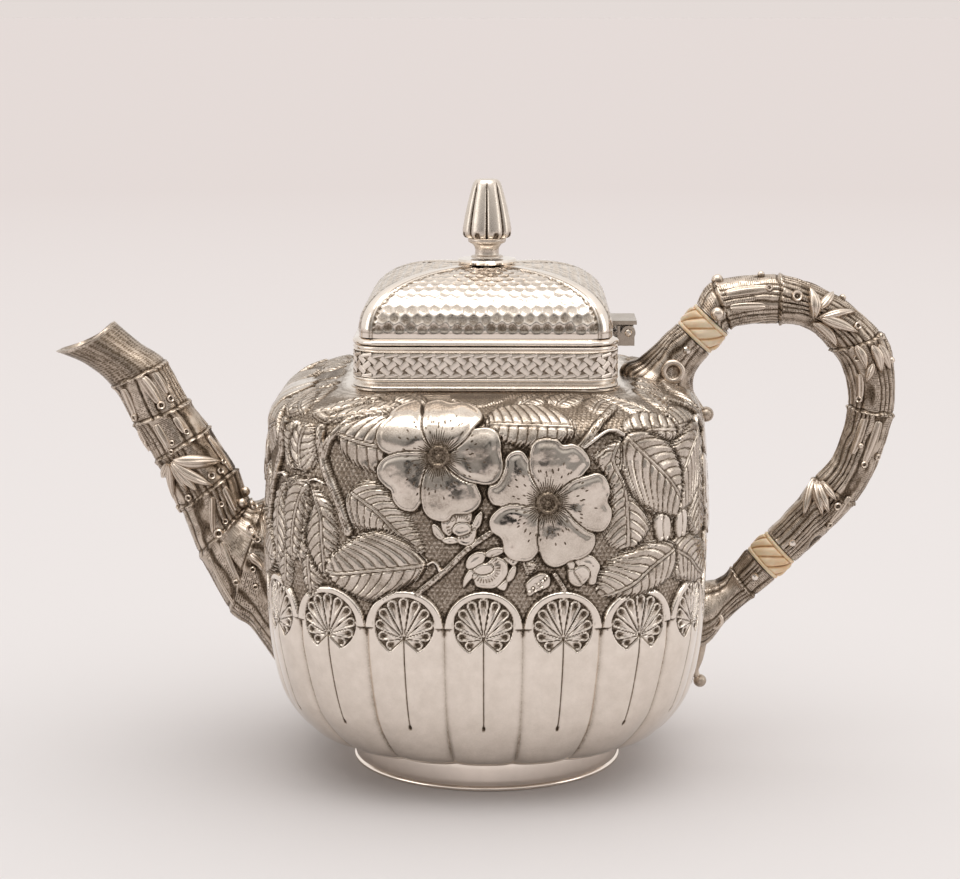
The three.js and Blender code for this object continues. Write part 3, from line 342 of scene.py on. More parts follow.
def patinaAndShadeSilver(name, clean, rough, tint=(1, 1, 1), strokes=None, grainScale=900, grainDepth=0.00003):
    # silver that the patina attribute darkens from bright, through worn, to brown; that attribute also
    # carries painted shade and painted reflection
    look = Look(name)
    stainAndShade = look.attribute("patinaAndShade")
    if strokes is not None:
        stainAndShade = look.most(stainAndShade, strokes(look))
    cloud = look.noise(260, 5, 0.65)
    shift = look.range(cloud, 0.3, 0.7, -0.07, 0.07)
    speckle = look.times(look.range(look.noise(2600, 2, 0.5), 0.35, 0.65, -0.22, 0.22), stainAndShade)
    amount = look.plus(look.plus(stainAndShade, speckle), shift, clamp=True)
    stops = [(0.0, brightSilver), (0.3, wornSilver), (0.62, tarnishAndShade), (1.0, darkPatinaAndShade)]
    stops = [(place, tuple(part * channel for part, channel in zip(tint, colour))) for place, colour in stops]
    roughness = look.range(amount, 0.12, 0.9, clean, rough)
    grain = look.bump(look.noise(grainScale, 3, 0.6), grainDepth, 0.5)
    colours = look.ramp(amount, stops)
    return look.give({"Base Color": colours, "Roughness": roughness, "Metallic": 1.0, "Normal": grain})


def bloomStrokes(look):
    # fine strokes and dots round the middles of the big flowers, from how far each point is
    # across and up from the nearest middle
    x, y, mask = (look.attribute(name) for name in ("bloomX", "bloomY", "bloom"))
    away = look.maths("POWER", look.squares(x, y), 0.5)
    angle = look.maths("DIVIDE", look.maths("ARCTAN2", y, x), turn)

    def wheel(count, seed):
        turns = look.plus(look.times(angle, count), count + seed)
        number = look.plus(look.maths("FLOOR", turns), 100.0 * seed)
        noise = look.add("ShaderNodeTexWhiteNoise", {"W": number}, noise_dimensions="1D")
        return look.offMiddle(turns), noise.outputs["Value"]

    def dots(count, seed, nearest, spread):
        part, chance = wheel(count, seed)
        spot = look.plus(look.times(chance, spread), nearest)
        sideways = look.times(look.times(part, away), turn / count)
        along = look.times(look.minus(away, spot), 0.5)
        return look.range(look.squares(sideways, along), 0.075, 0.03, 0, 0.8)

    part, chance = wheel(58, 1)
    reach = look.plus(look.times(chance, 3.0), 5.0)
    width = look.range(away, 2.9, 7.6, 0.42, 0.15)
    stroke = look.times(look.minus(width, part), 8.0, clamp=True)
    tail = look.times(look.minus(reach, away), 1.6, clamp=True)
    stroke = look.times(look.times(stroke, tail), look.range(away, 2.2, 3.1, 0.5, 0.92))
    dark = look.most(stroke, look.range(away, 7.4, 2.7, 0, 0.74))
    for count, seed, nearest, spread in ((37, 2, 6.4, 3.6), (29, 3, 7.6, 4.6)):
        dark = look.most(dark, dots(count, seed, nearest, spread))
    return look.times(dark, mask)


def stemStipple(look, columns=120, rowLength=0.005):
    # rows of small punched dots and fine engraved lines along a stem, from its uv map
    place = look.add("ShaderNodeUVMap", uv_map="skin").outputs[0]
    parts = look.add("ShaderNodeSeparateXYZ", {0: place}).outputs
    column = look.times(parts[0], columns)
    row = look.maths("DIVIDE", parts[1], rowLength)
    cell = look.add("ShaderNodeCombineXYZ", {0: look.maths("FLOOR", column), 1: look.maths("FLOOR", row)})
    chance = look.add("ShaderNodeTexWhiteNoise", {"Vector": cell.outputs[0]}, noise_dimensions="2D")
    across, along = look.offMiddle(column), look.offMiddle(row)
    present = look.maths("GREATER_THAN", chance.outputs["Value"], 0.25)
    dots = look.times(look.range(look.squares(across, along), 0.16, 0.07, 0, 0.88), present)
    groups = look.range(look.noise(240, 2, 0.5), 0.4, 0.5, 0.3, 1)
    worn = look.range(look.noise(170, 2, 0.5), 0.62, 0.46, 0.25, 1)
    lines = look.times(look.range(across, 0.28, 0.46, 0, 0.72), worn)
    return look.most(look.times(dots, groups), lines)


def plainSilver(name, colour, rough, cloudDepth=0.00004, cloudScale=90):
    # smooth silver with faint uneven polish and wiping marks
    look = Look(name)
    cloud = look.noise(cloudScale, 4, 0.6)
    darker = tuple(0.86 * channel for channel in colour)
    colours = look.ramp(cloud, [(0.25, darker), (0.7, colour)])
    roughness = look.range(cloud, 0.3, 0.7, rough * 1.5, rough * 0.8)
    ripple = look.bump(look.noise(cloudScale * 2.4, 2, 0.5), cloudDepth, 0.4)
    return look.give({"Base Color": colours, "Roughness": roughness, "Metallic": 1.0, "Normal": ripple})


def ivoryLook():
    look = Look("agedIvory")
    shift = look.range(look.noise(110, 5, 0.6), 0.35, 0.72, -0.12, 0.42)
    amount = look.plus(look.attribute("patinaAndShade"), shift, clamp=True)
    stops = [(0.0, (0.93, 0.78, 0.57)), (0.35, (0.82, 0.57, 0.32)), (0.7, (0.58, 0.32, 0.14))]
    colours = look.ramp(amount, [*stops, (1.0, (0.22, 0.11, 0.04))])
    fine = look.bump(look.noise(1400, 3, 0.6), 0.00003, 0.4)
    waxy = {"Roughness": 0.32, "Subsurface Weight": 0.12, "Subsurface Scale": 0.002}
    return look.give({"Base Color": colours, "Normal": fine, **waxy})


bodyLook = patinaAndShadeSilver("chasedSilver", clean=0.09, rough=0.5, strokes=bloomStrokes)
stemLook = patinaAndShadeSilver("oxidisedStemSilver", 0.26, 0.52, (0.84, 0.8, 0.76), stemStipple)
lidLook = patinaAndShadeSilver("hammeredSilver", clean=0.11, rough=0.42)
bandLook = patinaAndShadeSilver("braidedSilver", clean=0.25, rough=0.5)
mirrorLook = plainSilver("mirrorSilver", brightSilver, 0.09)
hingeLook = plainSilver("hingeSilver", (0.44, 0.38, 0.32), 0.24)
footLook = plainSilver("footSilver", (0.97, 0.88, 0.8), 0.1)
satinLook = plainSilver("satinSilver", (0.80, 0.77, 0.73), 0.2)
ivory = ivoryLook()

print("stage: materials")


# the body's skin

body = {
    "bellyHalfWidth": 60.8,
    "underside": 8.6,
    "height": 103.4,
    "footRadius": 38.5,
    "seatHalf": 36.0,
    "wall": 1.2,
    "columns": 1480,
    "lobesPerSide": 5,
    "lobeProud": 0.9,
    "lobeGroove": 0.175,
    "archSpring": 54.2,
}
sideShares = [
    (0.757, 0.0165), (0.859, 0.062), (0.947, 0.1625), (0.99, 0.32), (1, 0.5),
    (0.997, 0.69), (0.978, 0.845), (0.938, 0.934), (0.762, 0.9787),
]
planPowers = [(0, 2.05), (0.16, 2.8), (0.35, 3.3), (0.85, 3.5), (0.94, 4), (0.98, 5.5), (1, 7.5)]


def bodyHeight(share):
    return body["underside"] + share * body["height"]


profilePoints = [(body["footRadius"], body["underside"])]
profilePoints += [(wide * body["bellyHalfWidth"], bodyHeight(up)) for wide, up in sideShares]
profilePoints += [(body["seatHalf"], bodyHeight(1))]
profile = splinePoint(profilePoints, np.linspace(0, 1, 2401))
profileRun = np.concatenate([[0], np.cumsum(np.hypot(*np.diff(profile, axis=0).T))])
profileSlope = np.gradient(profile, axis=0)
profileSlope /= np.hypot(*profileSlope.T)[:, None]
powerPlaces = [place for place, power in planPowers]
powerValues = [power for place, power in planPowers]
profilePower = np.interp((profile[:, 1] - body["underside"]) / body["height"], powerPlaces, powerValues)


def planPoint(half, angle, power):
    total = np.abs(np.cos(angle)) ** power + np.abs(np.sin(angle)) ** power
    radius = half / total ** (1 / power)
    return radius * np.cos(angle), radius * np.sin(angle)


roundAngles = -3 * math.pi / 4 + np.linspace(0, turn, 14401)
bellyPower = np.interp(43.4 / body["height"], powerPlaces, powerValues)
bellyPlan = np.stack(planPoint(1.0, roundAngles, bellyPower), 1)
bellyRun = np.concatenate([[0], np.cumsum(np.hypot(*np.diff(bellyPlan, axis=0).T))])
bellyRun *= body["bellyHalfWidth"]
girth = bellyRun[-1]
sideWidth = girth / 4
lobePitch = sideWidth / body["lobesPerSide"]
skinTop = profileRun[-1]


def onSkin(around, up, lift):
    # around: mm round the belly from the front left corner; up: mm along the side; lift: outward
    half = np.interp(up, profileRun, profile[:, 0])
    height = np.interp(up, profileRun, profile[:, 1])
    outX = np.interp(up, profileRun, profileSlope[:, 1])
    outZ = -np.interp(up, profileRun, profileSlope[:, 0])
    power = np.interp(up, profileRun, profilePower)
    angle = np.interp(np.mod(around, girth), bellyRun, roundAngles)
    x, y = planPoint(half + outX * lift, angle, power)
    z = height + outZ * lift + 0 * x
    return np.stack([x + axisX, y, z], -1)


def pulledToSkin(points, depth):
    # points that lie deeper inside the body than depth are drawn out to that depth
    points = np.array(points)
    x = points[..., 0] - axisX
    y = points[..., 1]
    z = points[..., 2]
    share = np.clip((z - body["underside"]) / body["height"], 0, 1)
    power = np.interp(share, powerPlaces, powerValues)
    wide = np.maximum((np.abs(x) ** power + np.abs(y) ** power) ** (1 / power), 1e-6)
    coarse = profile[::12]
    normal = np.stack([profileSlope[::12, 1], -profileSlope[::12, 0]], 1)
    dx = wide[..., None] - coarse[:, 0]
    dz = z[..., None] - coarse[:, 1]
    nearest = np.argmin(dx ** 2 + dz ** 2, -1)
    out = np.take_along_axis(dx, nearest[..., None], -1)[..., 0] * normal[nearest, 0]
    out += np.take_along_axis(dz, nearest[..., None], -1)[..., 0] * normal[nearest, 1]
    deep = (out < -depth) & (z < bodyHeight(1) - 0.2)
    target = coarse[nearest] - depth * normal[nearest]
    scale = np.where(deep, target[..., 0] / wide, 1)
    points[..., 0] = x * scale + axisX
    points[..., 1] = y * scale
    points[..., 2] = np.where(deep, target[..., 1], z)
    return points


columnStep = girth / body["columns"]
rowPlaces = np.concatenate([
    np.arange(0, 23.9, 1.1), np.arange(24.2, 27.1, 0.32), np.arange(27.5, 43.9, 1.1),
    np.arange(44, 66, 0.28), np.arange(66.1, 120.9, 0.29),
    np.linspace(121, skinTop, 20),
])
columnPlaces = np.arange(body["columns"]) * columnStep
aroundGrid, upGrid = np.meshgrid(columnPlaces, rowPlaces, indexing="ij")
relief = np.zeros(aroundGrid.shape)
# the darkness painted onto the skin: real stains and engraving, and also painted shade on one side of each
# leaf band
stainAndShade = np.zeros(aroundGrid.shape)     # painted dark, over what the hollows darken
ground = np.ones(aroundGrid.shape)     # one where the punched ground shows
bloom = np.zeros(aroundGrid.shape)     # one on the petals of the two big flowers


# lobes, arches and fans

fan = {
    "apex": 51.5,
    "centre": 54.9,
    "radius": 7.8,
    "recess": 0.55,
    "loops": 11,
    "loopAngle": 29.2,
    "loopHalf": 1.42,
    "legReach": 4.9,
    "archInner": 8.5,
    "stemLow": 25.2,
}


def lobeField():
    place = np.mod(aroundGrid / lobePitch, 1) * 2 - 1
    across = place * lobePitch / 2
    proud = body["lobeProud"] * (1 - np.abs(place) ** 3)
    groove = body["lobeGroove"] * np.abs(place) ** 6
    lobe = (proud - groove) * (0.25 + 0.75 * ease(2, 16, upGrid))
    fromEdge = lobePitch / 2 - np.abs(across)
    valley = ease(8, 16, upGrid) * ease(0.2, -1.2, upGrid - body["archSpring"])
    lobe = lobe - (0.2 * bump(fromEdge, 0, 0.75) - 0.1 * bump(fromEdge, 1.5, 0.5)) * valley
    valley = valley * bump(fromEdge, 0, 0.6) * (0.2 + 0.16 * ease(42, 18, upGrid))
    radius = np.hypot(across, upGrid - body["archSpring"])
    archLine = np.where(upGrid > body["archSpring"], lobePitch / 2 - radius, 1.0)
    inArch = ease(-0.16, 0.16, archLine - 0.12)
    below = upGrid <= body["archSpring"]
    inside = np.where(below, 1.0, inArch)
    # a flat polished band follows the arch and dies into the lobe below its springing
    band = ease(fan["archInner"] - 0.25, fan["archInner"] + 0.1, radius)
    band = np.where(below, 0, band)
    bandLevel = 0.95 - 0.25 * band * ease(9.6, 10.4, radius)
    level = np.where(below, lobe, np.maximum(lobe, 0.62) * (1 - band) + bandLevel * band)
    capital = bump(upGrid, body["archSpring"] - 0.35, 0.35) * ease(8.3, 9.0, np.abs(across))
    level = level - 0.08 * capital
    height = level * inside - 0.12 * (1 - inside)
    return across, inside, height, valley


lobeAcross, lobeInside, lobeHeight, lobeValley = lobeField()
relief += lobeHeight
stainAndShade = np.maximum(stainAndShade, lobeValley)
ground *= 1 - lobeInside


def fanField():
    across = lobeAcross
    fromCentre = np.hypot(across, upGrid - fan["centre"])
    fromApexUp = upGrid - fan["apex"]
    # two legs open downwards from the apex
    legSlope = fan["legReach"] / 4.6
    belowLegs = (fromApexUp < 0) & (np.abs(across) < -fromApexUp * legSlope)
    legGap = np.abs(np.abs(across) + fromApexUp * legSlope) / math.hypot(1, legSlope)
    inCircle = ease(-0.14, 0.14, fan["radius"] - fromCentre)
    inFan = inCircle * ease(0, 0.2, np.where(belowLegs, 0, legGap + np.where(fromApexUp > 0, 1, 0)))
    ends = np.radians(np.arange(fan["loops"]) * fan["loopAngle"] - (fan["loops"] - 1) / 2 * fan["loopAngle"])
    loopReach = fan["radius"] - fan["loopHalf"] - 0.03
    loopHeight = np.zeros(across.shape)
    pit = np.zeros(across.shape)
    for end in ends:
        endAcross = loopReach * math.sin(end)
        endUp = fan["centre"] - fan["apex"] + loopReach * math.cos(end)
        length = math.hypot(endAcross, endUp)
        alongX, alongY = endAcross / length, endUp / length
        along = across * alongX + fromApexUp * alongY
        beside = across * alongY - fromApexUp * alongX
        share = np.clip(along / length, 0, 1)
        wide = fan["loopHalf"] * share + 0.02
        beyond = np.maximum(along - length, 0)
        gap = np.where(along > length, np.hypot(beside, beyond) - fan["loopHalf"], np.abs(beside) - wide)
        inLoop = ease(0.0, 0.28, -gap) * (along > 0.5)
        hollow = ease(0.35, 0.75, -gap) * (0.12 + 0.33 * ease(0.55, 0.95, share))
        loopHeight = np.maximum(loopHeight, inLoop * (0.5 - hollow))
        pitGap = np.hypot(beside * 1.25, (along - length + 0.15) * 0.7)
        pit = np.maximum(pit, ease(0.95, 0.2, pitGap) * inLoop)
    stem = ease(0.32, 0.1, np.abs(across)) * (upGrid < fan["apex"])
    stem = stem * ease(fan["stemLow"] - 0.2, fan["stemLow"] + 1, upGrid)
    drop = ease(0.62, 0.3, np.hypot(across, (upGrid - fan["stemLow"] - 0.7) * 0.55))
    legs = ease(0.3, 0.08, legGap) * ((fromApexUp < 0) & (fromCentre < fan["radius"]))
    return inFan, loopHeight, pit, np.maximum(stem, drop), legs


fanInside, fanLoops, fanPits, fanStems, fanLegs = fanField()
relief += fanInside * (fanLoops - fan["recess"])
relief -= 0.35 * fanStems + 0.3 * fanLegs
stainAndShade = np.maximum(stainAndShade, 0.9 * fanStems)
stainAndShade = np.maximum(stainAndShade, 0.95 * fanPits * fanInside)
stainAndShade = np.maximum(stainAndShade, 0.75 * fanLegs)
stainAndShade = np.maximum(stainAndShade, fanInside * 0.8 * ease(0.14, 0.02, fanLoops))

print("stage: lobes and fans")


# chased flowers, leaves and twigs

def window(low, high, margin=1.6):
    # the part of one side's grid that a shape covers, from its lowest and highest corners
    first = int(math.floor((low[0] - margin) / columnStep))
    last = int(math.ceil((high[0] + margin) / columnStep))
    rows = np.nonzero((rowPlaces > low[1] - margin) & (rowPlaces < high[1] + margin))[0]
    columns = np.arange(first, last + 1)
    across, up = np.meshgrid(columns * columnStep, rowPlaces[rows], indexing="ij")
    return columns, rows, across, up


def sidePlaces(columns, rows):
    # the same window on each of the four sides; the two short sides have it mirrored
    sideColumns = body["columns"] // 4
    for side, way in ((1, -1), (3, -1), (2, 1), (0, 1)):
        middle = side * sideColumns + sideColumns // 2
        yield np.ix_((middle + way * columns) % body["columns"], rows)


def emboss(columns, rows, cover, height, dark=0, blooms=0.0):
    # lays a shape over the relief of all four sides
    for places in sidePlaces(columns, rows):
        relief[places] = relief[places] * (1 - cover) + height * cover
        stainAndShade[places] = stainAndShade[places] * (1 - cover) + dark * cover
        ground[places] *= 1 - cover
        bloom[places] = bloom[places] * (1 - cover) + blooms * cover


def leafShape(rib, upper, lower, level=0.9, spacing=2.7, sweep=0.8, teeth=0.85, cup=0.35, veinDepth=0.36):
    rib = smoothOpen(rib)
    outline = smoothClosed([rib[0], *upper, rib[-1], *lower[::-1]])
    columns, rows, across, up = window(outline.min(0), outline.max(0))
    edge = insideOf(across, up, outline)
    gap, along, side, length = toLine(across, up, rib)
    curve = gap * (0.3 + 0.13 * gap)
    phase = (along - sweep * curve + np.where(side > 0, 0.0, 0.5 * spacing)) / spacing
    part = phase - np.floor(phase)
    tooth = 2 * phase - np.floor(2 * phase)
    ragged = edge + teeth * (tooth - 0.75)
    cover = ease(-0.16, 0.14, ragged)
    pillow = np.sin(math.pi * part ** 0.8) ** 0.8
    nearRib = ease(0.15, 0.9, gap)
    dome = level * (0.35 + 0.65 * ease(-0.1, 1.3, ragged)) - cup * ease(0, 7, gap) * 0.5
    height = dome + veinDepth * (pillow - 0.6) * nearRib * ease(0.0, 1.2, ragged)
    height += 0.16 * bump(gap, 0, 0.24) - 0.24 * bump(gap, 0.5, 0.2)
    height += 0.05 * (valueNoise(across / 0.9, up / 0.9, 33) - 0.5)
    # thin dark vein lines where the bands meet, plus painted shade over the half of each band that falls
    # towards the next vein
    veinAndShade = 0.66 * ease(0.12, 0.03, np.minimum(part, 1 - part)) + 0.34 * ease(0.5, 0.98, part)
    dark = veinAndShade * nearRib * ease(0.0, 0.5, ragged)
    dark = np.maximum(dark, 0.55 * bump(gap, 0.5, 0.22))
    dark = np.maximum(dark, 0.16 + 0.2 * valueNoise(across / 3, up / 3, 35))
    emboss(columns, rows, cover, height, np.clip(dark, 0, 0.85))


def petalShape(centre, outline, level=1.5, sink=0.75, rim=0.2, grow=1.15, blooms=1.0):
    outline = smoothClosed(outline)
    columns, rows, across, up = window(outline.min(0), outline.max(0))
    away = np.hypot(across - centre[0], up - centre[1])
    edge = insideOf(across, up, outline) + grow * ease(14.5, 8, away)
    cover = ease(-0.14, 0.14, edge)
    height = level * (0.42 + 0.58 * (1 - np.exp(-np.maximum(edge, 0) / 0.8)))
    height += rim * bump(edge, 0.5, 0.34)
    height -= 0.14 * bump(edge, 1.5, 0.6)
    height -= sink * np.exp(-(away / 5.6) ** 2)
    height += 0.26 * (valueNoise(across / 3.4, up / 3.4, 5) - 0.5) * ease(0.6, 2, edge)
    height += 0.03 * (valueNoise(across / 0.8, up / 0.8, 15) - 0.5)
    dark = 0.42 * ease(0.6, 0.0, edge) + 0.16 * valueNoise(across / 4, up / 4, 25)
    emboss(columns, rows, cover, height, dark, blooms=blooms)


def flowerButton(centre, outer=2.9, inner=1.9, boss=0.5, level=1.5):
    low = np.array(centre) - outer
    high = np.array(centre) + outer
    columns, rows, across, up = window(low, high)
    dx = across - centre[0]
    dy = up - centre[1]
    away = np.hypot(dx, dy)
    angle = np.arctan2(dy, dx)
    cover = ease(-0.12, 0.12, outer - away)
    middle = (outer + inner) / 2
    fromMiddle = (away - middle) / (outer - middle) * 0.95
    height = level * 0.5 + 0.6 * archOf(fromMiddle)
    height = np.where(away < inner - 0.1, level * 0.5 + 0.12 * (away / inner) ** 2, height)
    height += 0.06 * np.cos(angle * 22) * (away > inner)
    height += 0.4 * ease(boss + 0.2, boss - 0.2, away)
    dark = 0.3 + 0.4 * ease(inner + 0.25, inner - 0.2, away) * ease(boss - 0.1, boss + 0.3, away)
    emboss(columns, rows, cover, height, dark, blooms=1.0)


def tickMarks(centre, radius, length, count, firstTurn, lastTurn):
    # short dark strokes that stand round part of a circle
    reach = radius + length
    columns, rows, across, up = window(np.array(centre) - reach, np.array(centre) + reach)
    dx = across - centre[0]
    dy = up - centre[1]
    place = np.mod(np.arctan2(dy, dx) / turn - firstTurn, 1)
    inside = ease(length / 2, length / 2 - 0.2, np.abs(np.hypot(dx, dy) - radius))
    inside = (place < np.mod(lastTurn - firstTurn, 1)) * inside
    part = np.abs(np.mod(place * count, 1) - 0.5)
    strokes = 0.7 * inside * ease(0.32, 0.14, part)
    for places in sidePlaces(columns, rows):
        stainAndShade[places] = np.maximum(stainAndShade[places], strokes)


def twigShape(line, width, level=1.0, bark=True):
    line = smoothOpen(line)
    columns, rows, across, up = window(line.min(0), line.max(0), 1.2 + width)
    gap, along, side, length = toLine(across, up, line)
    half = width / 2
    cover = ease(-0.12, 0.12, half - gap)
    height = level * (0.4 + 0.6 * archOf(gap / half, 4))
    dark = np.zeros(gap.shape)
    if bark:
        cellAlong, cellAcross = along / 0.75, gap * side / 0.42 + 0.5
        cell = hashed(np.floor(cellAlong), np.floor(cellAcross), 4)
        middle = ease(0.5, 0.25, np.abs(cellAlong % 1 - 0.5)) * ease(0.5, 0.2, np.abs(cellAcross % 1 - 0.5))
        dots = (cell > 0.55) * middle * ease(half, half - 0.4, gap)
        lines = bump(gap, half * 0.55, 0.16) * ease(0.3, 0.6, valueNoise(along / 2.2, side * 3.0, 17))
        dark = np.maximum(0.2, np.maximum(0.8 * dots, 0.6 * lines))
        height = height - 0.07 * dots - 0.12 * lines
    emboss(columns, rows, cover, height, dark)


def knobShape(centre, radius, level):
    columns, rows, across, up = window(np.array(centre) - radius, np.array(centre) + radius)
    away = np.hypot(across - centre[0], up - centre[1])
    cover = ease(-0.1, 0.1, radius - away)
    height = level * (0.25 + 0.75 * archOf(away / radius))
    emboss(columns, rows, cover, height)


def scaledShape(outline, level=0.35, pitch=1.1):
    # a low patch covered with small dark scales
    outline = smoothClosed(outline)
    columns, rows, across, up = window(outline.min(0), outline.max(0))
    edge = insideOf(across, up, outline)
    first = np.abs(np.mod((across * 0.7 + up) / pitch, 1) - 0.5) * 2
    second = np.abs(np.mod((across * 0.7 - up) / pitch, 1) - 0.5) * 2
    scale = np.minimum(first, second)
    hairs = 0.5 * (np.abs(np.mod(across / 0.9, 1) - 0.5) * 2)
    cover = ease(-0.5, 0.3, edge + hairs - 0.3)
    emboss(columns, rows, cover, level * (0.5 + 0.5 * scale), 0.25 + 0.6 * ease(0.5, 0.15, scale))


def featherEngraving():
    # fine engraved strokes that fan out from the collar over the shoulder
    local = np.mod(aroundGrid, sideWidth) - sideWidth / 2
    bend = 4.0 * np.sin(local / 7.0) + 0.25 * (126 - upGrid) * np.sin(local / 15.0)
    strokes = ease(0.2, 0.75, np.cos(turn * (local + bend) / 1.25))
    patch = ease(0.35, 0.6, valueNoise(local / 6.0 + 9, upGrid / 5.0, 12))
    band = ease(117, 121, upGrid) * ease(128.5, 127, upGrid)
    rim = np.maximum(bump(upGrid, 124.6, 0.35), bump(upGrid, 126.2, 0.35))
    return np.maximum(0.5 * strokes * (0.3 + 0.7 * patch), 0.45 * rim) * band * ground


# each leaf's middle rib and its two edges, in the order in which they are laid, in millimetres
# across from the side's middle and up along the skin
leaves = {
    "lowLeft": {
        "rib": [(-47.8, 80), (-47.6, 72), (-46.8, 61)],
        "upper": [(-44.5, 79), (-42.5, 73), (-43, 66)],
        "lower": [(-49.5, 79), (-50, 73), (-50, 65)],
        "spacing": 2.4,
    },
    "upperLeft": {
        "rib": [(-50, 94), (-51.3, 100), (-48.6, 107.5)],
        "upper": [(-46.6, 95.5), (-45, 100), (-45.6, 105)],
        "lower": [(-54.4, 96), (-56, 101), (-52.8, 106.5)],
        "spacing": 2.4,
        "level": 1.0,
    },
    "shoulderFar": {
        "rib": [(-50, 110), (-43, 114), (-36, 118)],
        "upper": [(-50, 114), (-45, 119), (-39, 121)],
        "lower": [(-46, 108), (-41, 108.5), (-37, 112)],
    },
    "shoulderLeft": {
        "rib": [(-44, 108), (-36, 112.5), (-27, 117.5)],
        "upper": [(-43, 113), (-38, 118), (-31, 120.5)],
        "lower": [(-38, 109), (-33, 110), (-29, 113)],
        "level": 0.8,
    },
    "leftOne": {
        "rib": [(-39.8, 105.3), (-32, 103.2), (-25, 102)],
        "upper": [(-38.5, 108.5), (-35, 110.5), (-30, 112.5), (-26, 110)],
        "lower": [(-39, 103), (-38, 100), (-35, 97.5), (-32, 96), (-28.5, 95.6)],
        "sweep": 0.25,
    },
    "cornerLeft": {
        "rib": [(-48, 91.5), (-50.5, 87), (-52.6, 80), (-53.6, 70)],
        "upper": [(-51.5, 93), (-56, 89), (-58.3, 80), (-56.5, 72)],
        "lower": [(-48, 87), (-48.6, 80), (-50.6, 72.5)],
        "spacing": 2.5,
        "level": 1.1,
    },
    "hanging": {
        "rib": [(-46.8, 90.5), (-43.5, 84), (-43, 78), (-42, 66)],
        "upper": [(-43.5, 89.5), (-41, 87), (-39.8, 84), (-38.8, 80), (-38.6, 76.5), (-40, 72.5)],
        "lower": [(-46.5, 86), (-48, 81.5), (-48.8, 77), (-47.3, 72)],
        "sweep": 0.9,
    },
    "middleLeft": {
        "rib": [(-35.5, 90.5), (-28, 85.5), (-22, 79.5), (-15.5, 74)],
        "upper": [(-33, 92.8), (-29, 93.5), (-24, 90), (-19.5, 84.5), (-16.2, 78.5)],
        "lower": [(-36.8, 87.5), (-36.5, 84), (-34.5, 81), (-30, 80), (-26, 79.6), (-22, 77.5)],
        "spacing": 2.3,
        "level": 0.85,
    },
    "topRight": {
        "rib": [(25, 107.5), (12, 108), (0.5, 108.3)],
        "upper": [(25, 110.5), (22, 115), (17, 118), (8, 118), (2, 114.5)],
        "lower": [(24, 105), (18, 103), (10, 102.5), (4, 104.5)],
        "sweep": 0.2,
        "spacing": 2.6,
        "level": 1.1,
    },
    "lowerRight": {
        "rib": [(53, 74), (45, 70), (38.8, 65.5), (31, 62.5)],
        "upper": [(52, 76), (47, 76.8), (42, 76), (38, 75), (33.5, 73), (30.5, 70), (29.5, 66)],
        "lower": [(54, 70), (52, 66), (47, 63.5), (40, 62)],
        "spacing": 2.8,
        "level": 1.1,
    },
    "rightInner": {
        "rib": [(36.5, 104.5), (34, 99), (36.8, 92), (37.5, 84), (37.8, 74.8)],
        "upper": [(38, 101), (39.5, 95), (40.5, 89.5), (43, 85), (44.8, 80.5), (43, 77.5), (40, 75)],
        "lower": [(35, 104.4), (31, 101.5), (29, 100), (30.5, 97), (32.5, 93), (33.2, 86), (31, 79.5),
                  (33.5, 76)],
        "spacing": 2.5,
        "level": 0.9,
    },
    "shoulderRight": {
        "rib": [(37.5, 105.5), (46, 106), (55, 105.2)],
        "upper": [(38, 108.5), (42, 112), (47, 113), (53, 110)],
        "lower": [(41, 103.8), (47, 103), (53, 103)],
        "sweep": 0.3,
        "level": 0.9,
    },
    "bigRight": {
        "rib": [(37, 105), (45, 97.5), (51, 91.5), (55, 86)],
        "upper": [(38.5, 106.5), (42, 106.8), (45, 105.8), (49, 104), (53, 100.5), (56, 94)],
        "lower": [(36, 102), (35.7, 97), (36.5, 92.5), (38, 89.5), (41, 86.5), (45, 84), (49, 82.7),
                  (53, 82)],
        "spacing": 3.0,
        "level": 1.5,
    },
    "lowerLeft": {
        "rib": [(-14.5, 71.6), (-22, 70.5), (-30, 69.5), (-38, 68.3), (-42.5, 69)],
        "upper": [(-16.5, 74.5), (-19.5, 78), (-24, 80.3), (-28, 80.8), (-33, 79), (-37, 76.5),
                  (-40.5, 73.5)],
        "lower": [(-16.5, 68), (-20, 65.5), (-25, 63), (-30, 61), (-38, 64), (-41, 66.5)],
        "spacing": 2.9,
        "level": 1.25,
    },
    "smallTwin": {
        "rib": [(10.3, 72.6), (10.8, 70.8), (11.6, 68.6)],
        "upper": [(11.9, 73.2), (13.7, 72.7), (14.5, 71.3), (13.5, 69.8)],
        "lower": [(9.5, 72.3), (9.9, 70.8), (10.7, 69.4)],
        "spacing": 1.3,
        "level": 0.9,
    },
}
# the points, width and level of each twig and stalk
twigs = [
    ([(-35.5, 79.5), (-37, 84), (-38.5, 88), (-41, 93), (-43, 97), (-43.8, 101), (-44.5, 106.5)], 2.2, 1.3),
    ([(-43.2, 99), (-42, 102.5), (-40, 105.5), (-37, 110)], 1.8, 1.2),
    ([(-17, 64), (-10, 70), (-4.5, 75.5), (1.5, 80)], 1.7, 1),
    ([(25, 102), (27, 104), (31, 108), (36, 112.5), (40, 116)], 2, 1.2),
    ([(18.5, 69), (21, 65)], 1.3, 0.9),
]
stalks = [
    ([(-47, 92.2), (-45.6, 92.8), (-44, 92.5), (-42.5, 92)], 0.8, 1.1),
    ([(-14.5, 71.6), (-13, 72.3), (-11.8, 71.2), (-11.5, 70)], 0.8, 1),
    ([(37, 105.3), (35, 106.5), (32, 106), (28, 103.5), (26.5, 102.5)], 1, 1.3),
]
